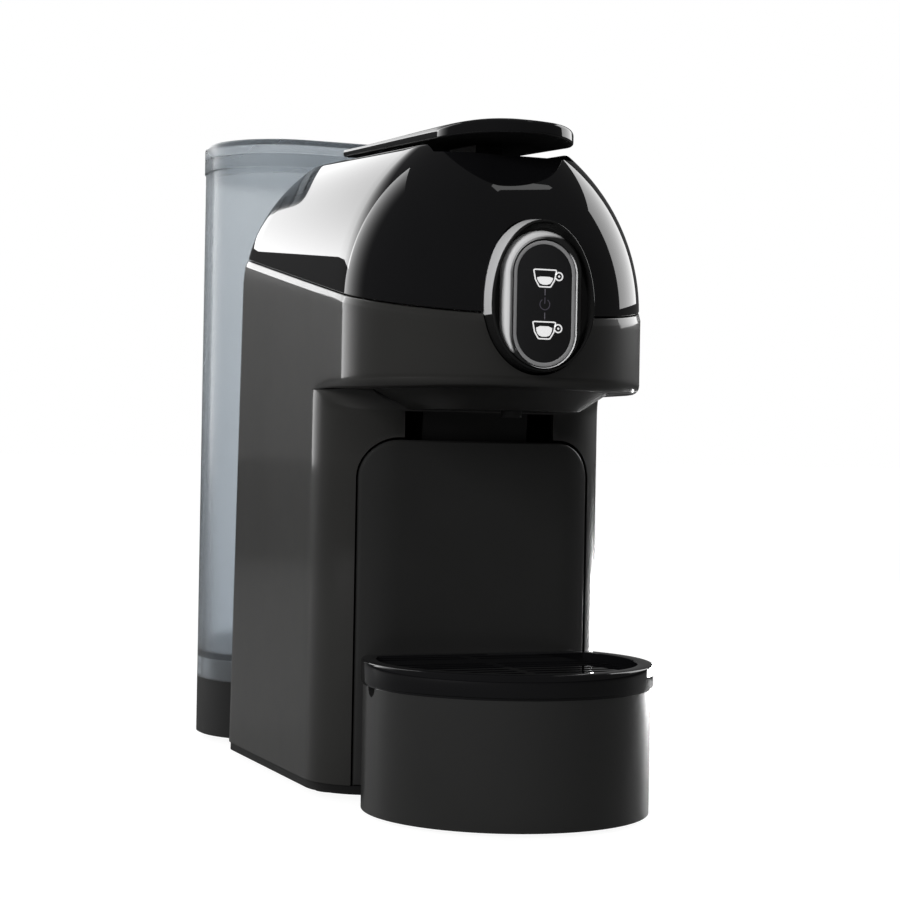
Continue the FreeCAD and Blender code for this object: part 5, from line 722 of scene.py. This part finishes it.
# Half width, lower and upper end, radius of the top corners, front and rear of each opening.
openings = {
    "door_cut": (DOOR_HALF + DOOR_GAP, -5.0, DOOR_HIGH + DOOR_GAP, DOOR_CORNER + DOOR_GAP, FAR_AHEAD, -18.5),
    "recess_cut": (32.0, 140.0, 153.6, 0.01, FAR_AHEAD, -67.0),
    "rear_cut": (30.8, 10.0, 204.0, 0.01, 74.0, FAR_BEHIND),
}
arches = [arch_cutter(name, *sizes) for name, sizes in openings.items()]
canopy_hole = stack([(46.3, -123.3, -74.8, 36.0, 2.0, z) for z in (155.0, 166.0)])
carve(housing, *arches, solid("canopy_cut", surface(canopy_hole)), egg_cutter())
settle(housing, "machine", "housing_plastic", satin, "main_housing")

# %% [markdown]
# ## The lever
# Its plate is one surface over a plan: every point of the outline has a partner on the middle
# line, and the rows of the grid move from one to the other, first along the underside, then round
# the edge, then over the crowned top. The crown is highest near the tip.

# %% Lever
# Half the width, centre of the round tip, rear end, and rear end of the middle line.
PLATE_HALF, TIP_Y, REAR_Y, SPINE_Y = 28.0, -91.0, 19.0, -9.0
PLATE_FRONT = TIP_Y - PLATE_HALF
# Gap between the deck and the plate, thickness of its edge at the tip, and how much that thins.
FINGER_GAP, PLATE_THICK, PLATE_THINS = 5.4, 4.4, 1.3
LOW_ROUND, TOP_ROUND, REAR_BEVEL = 0.8, 1.3, 1.5
TIP_LIFT, LIFT_FROM, LIFT_OVER = 2.0, -95.0, 24.0
ARM_HALF = 1.9
# Height of the crown along the middle: a cubic through four heights.
CREST = np.polyfit([PLATE_FRONT, TIP_Y, -50.0, REAR_Y], [2.4, 5.0, 2.8, 0.6], 3)


def plate_plan():
    """Outline of the plate, and for each of its points the partner on the middle line."""
    turn = np.linspace(np.pi, 2 * np.pi, 73)
    tip = np.stack([PLATE_HALF * np.cos(turn), TIP_Y + PLATE_HALF * np.sin(turn)], axis=-1)
    along = np.linspace(TIP_Y, REAR_Y - REAR_BEVEL, 45)[1:]
    right = np.stack([np.full(len(along), PLATE_HALF), along], axis=-1)
    across = np.linspace(PLATE_HALF - REAR_BEVEL, REAR_BEVEL - PLATE_HALF, 19)
    rear = np.stack([across, np.full(len(across), REAR_Y)], axis=-1)
    outline = np.concatenate([tip, right, rear, (right * [-1, 1])[::-1]])
    return outline, np.stack([np.zeros(len(outline)), np.clip(outline[:, 1], TIP_Y, SPINE_Y)], axis=-1)


def soften(corners, times=3):
    """Cut the corners of a closed outline: every edge gives points at a quarter and three quarters."""
    for _ in range(times):
        onward = np.roll(corners, -1, axis=0)
        pair = [0.75 * corners + 0.25 * onward, 0.25 * corners + 0.75 * onward]
        corners = np.stack(pair, axis=1).reshape(-1, 2)
    return corners


outline, partner = plate_plan()
reach = np.linalg.norm(outline - partner, axis=1)
turn = np.radians(np.linspace(0, 90, 6))[:, None]
inner_rows = np.array([0.0, 0.3, 0.6, 0.85, 0.93])[:, None] * np.ones(len(reach))
no_lift = np.zeros((len(inner_rows), 1))
low_share = np.concatenate([inner_rows, 1 - LOW_ROUND * (1 - np.sin(turn)) / reach])
low_lift = np.concatenate([no_lift, LOW_ROUND * (1 - np.cos(turn))])
top_share = np.concatenate([1 - TOP_ROUND * (1 - np.cos(turn)) / reach, inner_rows[::-1]])
top_drop = np.concatenate([TOP_ROUND * (1 - np.sin(turn)), no_lift])


def plate_rows(share, top, offset):
    """Rows of the plate at shares of the way from the middle line to the outline.

    Underside: a plane, lifted near the tip by TIP_LIFT times the distance's share to the power 1.5.
    Top: the plane plus the edge's thickness plus the crown times (1 - (x / half)^2).
    """
    plan = partner + share[..., None] * (outline - partner)
    x, y = plan[..., 0], plan[..., 1]
    plane = START_Z + DECK + FINGER_GAP + DECK_SLOPE * (y - HEAD_FRONT)
    if top:
        thickness = PLATE_THICK - PLATE_THINS * (y - PLATE_FRONT) / (REAR_Y - PLATE_FRONT)
        height = plane + thickness + np.polyval(CREST, y) * (1 - (x / PLATE_HALF) ** 2)
    else:
        height = plane + TIP_LIFT * np.clip((LIFT_FROM - y) / LIFT_OVER, 0, 1) ** 1.5
    return np.stack([x, y, height + offset], axis=-1)


plate = np.concatenate([plate_rows(low_share, False, low_lift), plate_rows(top_share, True, -top_drop)])
# Side view of an arm in (y, z), from the plate past the hinge down to the eye of the crank pin.
arm_side = soften(np.array([
    (-1.0, 265.4), (19.0, 265.4), (29.0, 257.0), (44.6, 238.5), (44.6, 229.6), (38.0, 227.6),
    (34.0, 230.0), (19.0, 249.0), (10.5, 257.5),
]))
arms = [
    surface(np.stack([np.insert(arm_side, 0, x + side, axis=1) for side in (-ARM_HALF, ARM_HALF)]))
    for x in (-ARM_X, ARM_X)
]
lever = solid("lever_plate", surface(plate, ends="open"), *arms)
settle(lever, "lever", "gloss_black", lacquer, "closing_lever")
repaint(lever, matt_black, lambda at, facing: (facing[:, 2] < -0.8) & (at[:, 2] > 250.0))

# %% [markdown]
# ## The control panel
# Egg, frame, rocker and bright trim are rings of matching outlines, so one grid joins any two
# of them. The small roundings matter most here: a rim half a millimetre wide is what draws
# the fine bright line.

# %% Panel and frame
# The rocker's half width, lower and upper end, and the depth of its face.
ROCKER_HALF, ROCKER_LOW, ROCKER_HIGH, ROCKER_Y = 12.6, 170.15, 217.05, -134.0


def pill(radius, low, high, y, count=EGG_POINTS):
    """Slot-shaped outline: x = r cos a, z = the upper or the lower centre + r sin a."""
    angle = np.linspace(0, 2 * np.pi, count, endpoint=False)
    centre = np.where(np.sin(angle) >= 0, high - radius, low + radius)
    across, up = radius * np.cos(angle), centre + radius * np.sin(angle)
    return np.stack([across, np.full(count, float(y)), up], axis=-1)


def between(first, second, share, y):
    """Outline part of the way from one outline to another, at a depth."""
    mixed = first + share * (second - first)
    mixed[:, 1] = y
    return mixed


def rocker_ring(inset, y):
    """Outline of the rocker, drawn in all round by an inset, at a depth."""
    return pill(ROCKER_HALF - inset, ROCKER_LOW + inset, ROCKER_HIGH - inset, y)


# Depths of the panel's back, of the inner edge of its dish, and of the frame's front.
BACK_Y, SEAT_Y, FRONT_Y = -123.6, -130.5, -134.2
seat, rim = pill(16.75, 169.0, 221.2, SEAT_Y), egg(-1.8, -133.7)
dish = [between(seat, rim, share, y) for share, y in ((0.34, -130.7), (0.67, -131.3), (0.9, -132.3))]
rounding = [
    (-1.75, -133.95), (-1.65, -134.0), (-1.45, -134.0), (-1.2, -133.93), (-1.0, -133.75), (-0.88, -133.45),
    (-0.8, -133.0), (0.0, -124.5), (0.0, BACK_Y),
]
egg_rows = [between(seat, seat, 0, BACK_Y), seat, *dish, rim, *(egg(grow, y) for grow, y in rounding)]
panel_egg = solid("panel_egg", surface(np.stack(egg_rows), closed=True))
settle(panel_egg, "machine", "gloss_black", panel_black, "control_panel")
# The side of the egg is one row of faces between two rings, given a painted reflection in light grey above
# this height.
SIDE_Y, REFLECTION_FROM_Z = -128.75, 189.5
repaint(
    panel_egg, painted_reflection_grey,
    lambda at, facing: (np.abs(at[:, 1] - SIDE_Y) < 1.0) & (at[:, 2] > REFLECTION_FROM_Z),
)

FRAME_ROOT_Y = -124.5
front, root = pill(13.7, 169.3, 218.15, FRONT_Y), pill(16.6, 169.15, 221.05, SEAT_Y)
bulge = [
    between(front, root, np.sin(angle), FRONT_Y + (SEAT_Y - FRONT_Y) * (1 - np.cos(angle)))
    for angle in np.radians([18, 36, 52, 66, 78])
]
frame_rows = [
    rocker_ring(-0.4, FRAME_ROOT_Y), rocker_ring(-0.4, -133.9), rocker_ring(-0.5, FRONT_Y),
    rocker_ring(-0.65, -134.3), front, *bulge, root, between(root, root, 0, FRAME_ROOT_Y),
]
panel_frame = solid("panel_frame", surface(np.stack(frame_rows), closed=True))
settle(panel_frame, "machine", "gloss_black", frame_gloss_painted_reflection, "rocker_surround")

# %% Rocker and its trim
# The pivot's radius, depth, lower and upper end, and reach to each side.
PIVOT, PIVOT_Y, PIVOT_LOW, PIVOT_HIGH, PIVOT_REACH = 1.5, -131.0, 192.1, 195.1, 14.2
LEDGE_Y = -132.4
face_rings = [(0.0, -128.0), (0.0, LEDGE_Y), (1.5, LEDGE_Y), (1.5, -133.75), (1.6, -133.93), (1.8, ROCKER_Y)]
line_rings = [
    (0.0, LEDGE_Y), (0.0, -133.8), (0.1, -133.95), (0.3, ROCKER_Y), (1.15, ROCKER_Y), (1.35, -133.95),
    (1.45, -133.8), (1.45, LEDGE_Y),
]
ends = [pill(PIVOT, PIVOT_LOW, PIVOT_HIGH, x, 24)[:, [1, 0, 2]] for x in (-PIVOT_REACH, PIVOT_REACH)]
face = surface(np.stack([rocker_ring(inset, y) for inset, y in face_rings]))
rocker = solid("rocker_face", face, surface(np.stack(ends) + [0, PIVOT_Y, 0]))
settle(rocker, "rocker", "rocker_grey", rocker_satin, "rocker_button")
line = surface(np.stack([rocker_ring(inset, y) for inset, y in line_rings]), closed=True)
settle(solid("rocker_line", line), "rocker", "silver_trim", trim_silver, "rocker_trim")

# %% [markdown]
# ### Marks on the rocker
# Two plain cups, two dashes and a power sign, each a print that stands 0.07 mm proud of the
# face. A stroke follows a path on the face: its corners lie half a width to each side, along
# the normals.

# %% Marks
PRINT_TOP, PRINT_ROOT = ROCKER_Y - 0.07, ROCKER_Y + 0.1
CUP_LINE, DASH_LINE, POWER_LINE = 0.5, 0.38, 0.34
MARK_X = 0.1


def stroke(path, width, closed=False):
    """Ribbon along a path of (x, z) points on the rocker's face."""
    steps = np.roll(path, -1, 0) - np.roll(path, 1, 0) if closed else np.gradient(path, axis=0)
    normal = np.stack([-steps[:, 1], steps[:, 0]], axis=-1)
    normal *= 0.5 * width / np.linalg.norm(normal, axis=1, keepdims=True)
    sides = [(path + normal, PRINT_TOP), (path - normal, PRINT_TOP), (path - normal, PRINT_ROOT),
             (path + normal, PRINT_ROOT)]
    corners = np.stack([np.insert(side, 1, y, axis=1) for side, y in sides], axis=1)
    return surface(corners, closed=closed)


def filled(path):
    """Flat shape on the rocker's face."""
    return surface(np.stack([np.insert(path, 1, y, axis=1) for y in (PRINT_TOP, PRINT_ROOT)]))


def arc(x, z, radius, start=0.0, stop=360.0):
    """48 points of an arc; a whole circle leaves out its end, which is its start again."""
    angle = np.radians(np.linspace(start, stop, 48, endpoint=stop - start < 360.0))
    return np.stack([x + radius * np.cos(angle), z + radius * np.sin(angle)], axis=-1)


def cup(x, z, low, coffee):
    """A cup seen from the side: bowl, handle with a dot in it, and a filled shape for the drink."""
    bowl = np.array([(-4.7, 3.2), (4.7, 3.2), (3.9, -0.6), (2.3, low), (-2.3, low), (-3.9, -0.6)])
    sides = np.concatenate([np.linspace(a, b, 5)[:-1] for a, b in zip(bowl, np.roll(bowl, -1, 0))])
    floor_z = low + 0.8
    drink = np.array([
        (-3.4, coffee), (3.4, coffee), (3.0, -0.9), (1.7, floor_z), (-1.7, floor_z), (-3.0, -0.9),
    ])
    middle = np.array([x, z])
    return [
        stroke(soften(sides, 2) + middle, CUP_LINE, closed=True), filled(soften(drink, 1) + middle),
        stroke(arc(x + 5.7, z + 0.9, 1.45, -155.0, 155.0), CUP_LINE), filled(arc(x + 5.75, z + 0.9, 0.42)),
    ]


def upright(top, reach):
    """Three points straight down from a height on the marks' middle line."""
    return np.array([(MARK_X, top), (MARK_X, top - 0.5 * reach), (MARK_X, top - reach)])


marks = cup(0.0, 203.0, -3.2, 0.6) + cup(0.0, 183.6, -3.1, 1.6)
settle(solid("cup_marks", *marks), "rocker", "white_plastic", icon_white)
dashes = [stroke(upright(top, 2.4), DASH_LINE) for top in (199.1, 190.2)]
power = [stroke(arc(MARK_X, 193.3, 2.0, 122.0, 418.0), POWER_LINE), stroke(upright(195.9, 2.4), POWER_LINE)]
settle(solid("dash_marks", *dashes), "rocker", "silver_trim", icon_grey)
settle(solid("power_mark", *power), "rocker", "silver_trim", icon_dim)

# %% [markdown]
# ## Door and drip ring
# The door repeats the column's front: flat in the middle and curved at its sides, with a small
# rounding all round that catches a thin line of light. The ring is a D in plan, and its
# vertical gloss wall mirrors the panels of the studio as upright bands.

# %% Drawer front
DOOR_THICK, DOOR_ROUND = 2.3, 0.9
DOOR_MIDDLE = (56.0, 93.0)


def door_plan():
    """Outline of the door in (x, z), and the partner of each point on its upright middle line."""
    angle = np.radians(np.linspace(0, 90, 13))
    centre = np.array([DOOR_HALF - DOOR_CORNER, DOOR_HIGH - DOOR_CORNER])
    right = centre + DOOR_CORNER * np.stack([np.cos(angle), np.sin(angle)], axis=-1)
    left = (right * [-1, 1])[::-1]
    up = np.linspace((DOOR_HALF, DOOR_LOW), right[0], 24)[:-1]
    top = np.linspace(right[-1], left[0], 22)[1:-1]
    down = np.linspace(left[-1], (-DOOR_HALF, DOOR_LOW), 24)[1:]
    foot = np.linspace((-DOOR_HALF, DOOR_LOW), (DOOR_HALF, DOOR_LOW), 30)[1:-1]
    plan = np.concatenate([up, right, top, left, down, foot])
    return plan, np.stack([np.zeros(len(plan)), np.clip(plan[:, 1], *DOOR_MIDDLE)], axis=-1)


def column_face(x):
    """Depth of the column's front: flat, then radius minus the square root of its square minus x's."""
    aside = np.maximum(np.abs(x) - (HALF - COLUMN_CORNER), 0.0)
    return COLUMN_FRONT + COLUMN_CORNER - np.sqrt(COLUMN_CORNER**2 - aside**2)


door_edge, door_middle = door_plan()
door_reach = np.linalg.norm(door_edge - door_middle, axis=1)
turn = np.radians(np.linspace(0, 90, 5))[:, None]
every = np.ones((1, len(door_reach)))
inward = np.array([0.97, 0.94, 0.90, 0.85, 0.8, 0.74, 0.68, 0.5, 0.25, 0.0])[:, None] * every
share = np.concatenate([inward[::-1], every, 1 - DOOR_ROUND * (1 - np.cos(turn)) / door_reach, inward])
flat = len(inward)
set_back = np.concatenate([
    np.full((flat + 1, 1), DOOR_THICK), DOOR_ROUND * (1 - np.sin(turn)), np.zeros((flat, 1)),
])
plan = door_middle + share[..., None] * (door_edge - door_middle)
door_grid = np.stack([plan[..., 0], column_face(plan[..., 0]) + set_back, plan[..., 1]], axis=-1)
door = solid("door_panel", surface(door_grid, ends="open"))
# Room under the door for the link to the drip tray, and behind it for the drawer's floor.
carve(door, *(
    solid("notch", block((-half, half), (ahead, -60.0), (0.0, 9.5)))
    for half, ahead in ((39.2, -90.0), (46.2, -72.1))
))
settle(door, "drawer", "housing_plastic", door_satin, "drawer_front")

# %% Drip ring
TRAY_Y = -105.0
ARC_POINTS, CHORD_POINTS = 110, 25


def d_shape(radius, rear):
    """Plan of a disc round (0, TRAY_Y) cut off straight: an arc through the front, then the chord."""
    start = np.arcsin((rear - TRAY_Y) / radius)
    angle = np.pi - start + np.linspace(0, 1, ARC_POINTS) * (np.pi + 2 * start)
    x, y = radius * np.cos(angle), TRAY_Y + radius * np.sin(angle)
    back_x = x[:, -1:] * np.linspace(1, -1, CHORD_POINTS + 2)[1:-1]
    back_y = np.broadcast_to(rear, back_x.shape)
    return np.concatenate([x, back_x], axis=1), np.concatenate([y, back_y], axis=1)


# Radius, straight rear side and height of each outline, from the skirt up the outside and back in.
ring_rows = [
    (47.0, -84.0, 46.0), (52.4, -77.8, 46.0), (52.4, -77.8, 49.0), (54.9, -75.1, 49.0),
    (54.9, -75.1, 49.9), (55.6, -75.1, 49.9), (55.9, -75.0, 50.05), (56.0, -75.0, 50.3),
    (56.0, -75.0, 57.5), (55.9, -75.1, 57.9), (55.65, -75.35, 58.18), (55.3, -75.7, 58.3),
    (50.6, -80.4, 58.3), (50.25, -80.75, 58.2), (50.0, -81.0, 57.9), (50.0, -81.0, 53.0),
    (47.0, -84.0, 53.0),
]
ring = solid("ring_gloss", surface(stack(ring_rows, shape=d_shape), closed=True))
settle(ring, "tray_ring", "gloss_black", lacquer, "drip_ring")

# %% [markdown]
# ## Tank and lid
# Both are open mouldings of smoked plastic. Their material absorbs light inside the wall, so a
# wall seen flat stays pale while a floor or a rim seen along its length turns dark, as real
# tinted plastic does. The surface is also a little darker towards the foot.

# %% Tank
# Half the width, front, rear and corner of the rim band, in plan.
TANK_HALF, TANK_FRONT, TANK_REAR, TANK_CORNER = 60.0, 81.0, 160.4, 38.0
WELL_RADIUS, WELL_Y = 4.4, 121.0


def tank_surface(rows):
    """Surface of a tank moulding: each row is how far it is drawn in from the rim band, and a height."""
    inset, z = np.array(rows).T
    corner = TANK_CORNER - inset
    sizes = [TANK_HALF - inset, TANK_FRONT + inset, TANK_REAR - inset, corner, corner, z]
    return surface(stack(np.stack(sizes, axis=-1), bend=24, run=6))


tank = solid("tank_shell", tank_surface([
    (2.8, 38.6), (2.8, 29.0), (0.6, 29.0), (0.6, 29.4), (0.6, 90.0), (0.6, 150.0), (0.6, 210.0),
    (0.6, 268.2), (0.15, 268.6), (0.0, 268.9), (0.0, 274.6), (0.2, 274.9), (0.5, 275.0), (2.5, 275.0),
    (2.8, 274.7), (2.8, 42.6), (3.2, 41.6), (4.2, 41.2),
]))
bend = WELL_RADIUS - 0.01
well = stack([(WELL_RADIUS, WELL_Y - WELL_RADIUS, WELL_Y + WELL_RADIUS, bend, bend, z) for z in (30.0, 50.0)])
carve(tank, solid("valve_cut", surface(well)))
settle(tank, "tank", "tank_plastic", tank_smoke, "water_tank")

# %% Lid
lid = solid("lid_shell", tank_surface([
    (4.8, 279.0), (4.8, 275.6), (5.2, 275.2), (5.2, 266.2), (4.9, 266.0), (3.4, 266.0), (3.1, 266.3),
    (3.1, 275.0), (0.2, 275.0), (0.0, 275.2), (0.0, 279.9), (0.25, 280.7), (0.8, 281.25), (1.6, 281.5),
    (6.0, 281.5), (6.6, 281.2), (7.4, 281.0),
]))
settle(lid, "tank_cover", "lid_plastic", lid_smoke, "tank_lid")
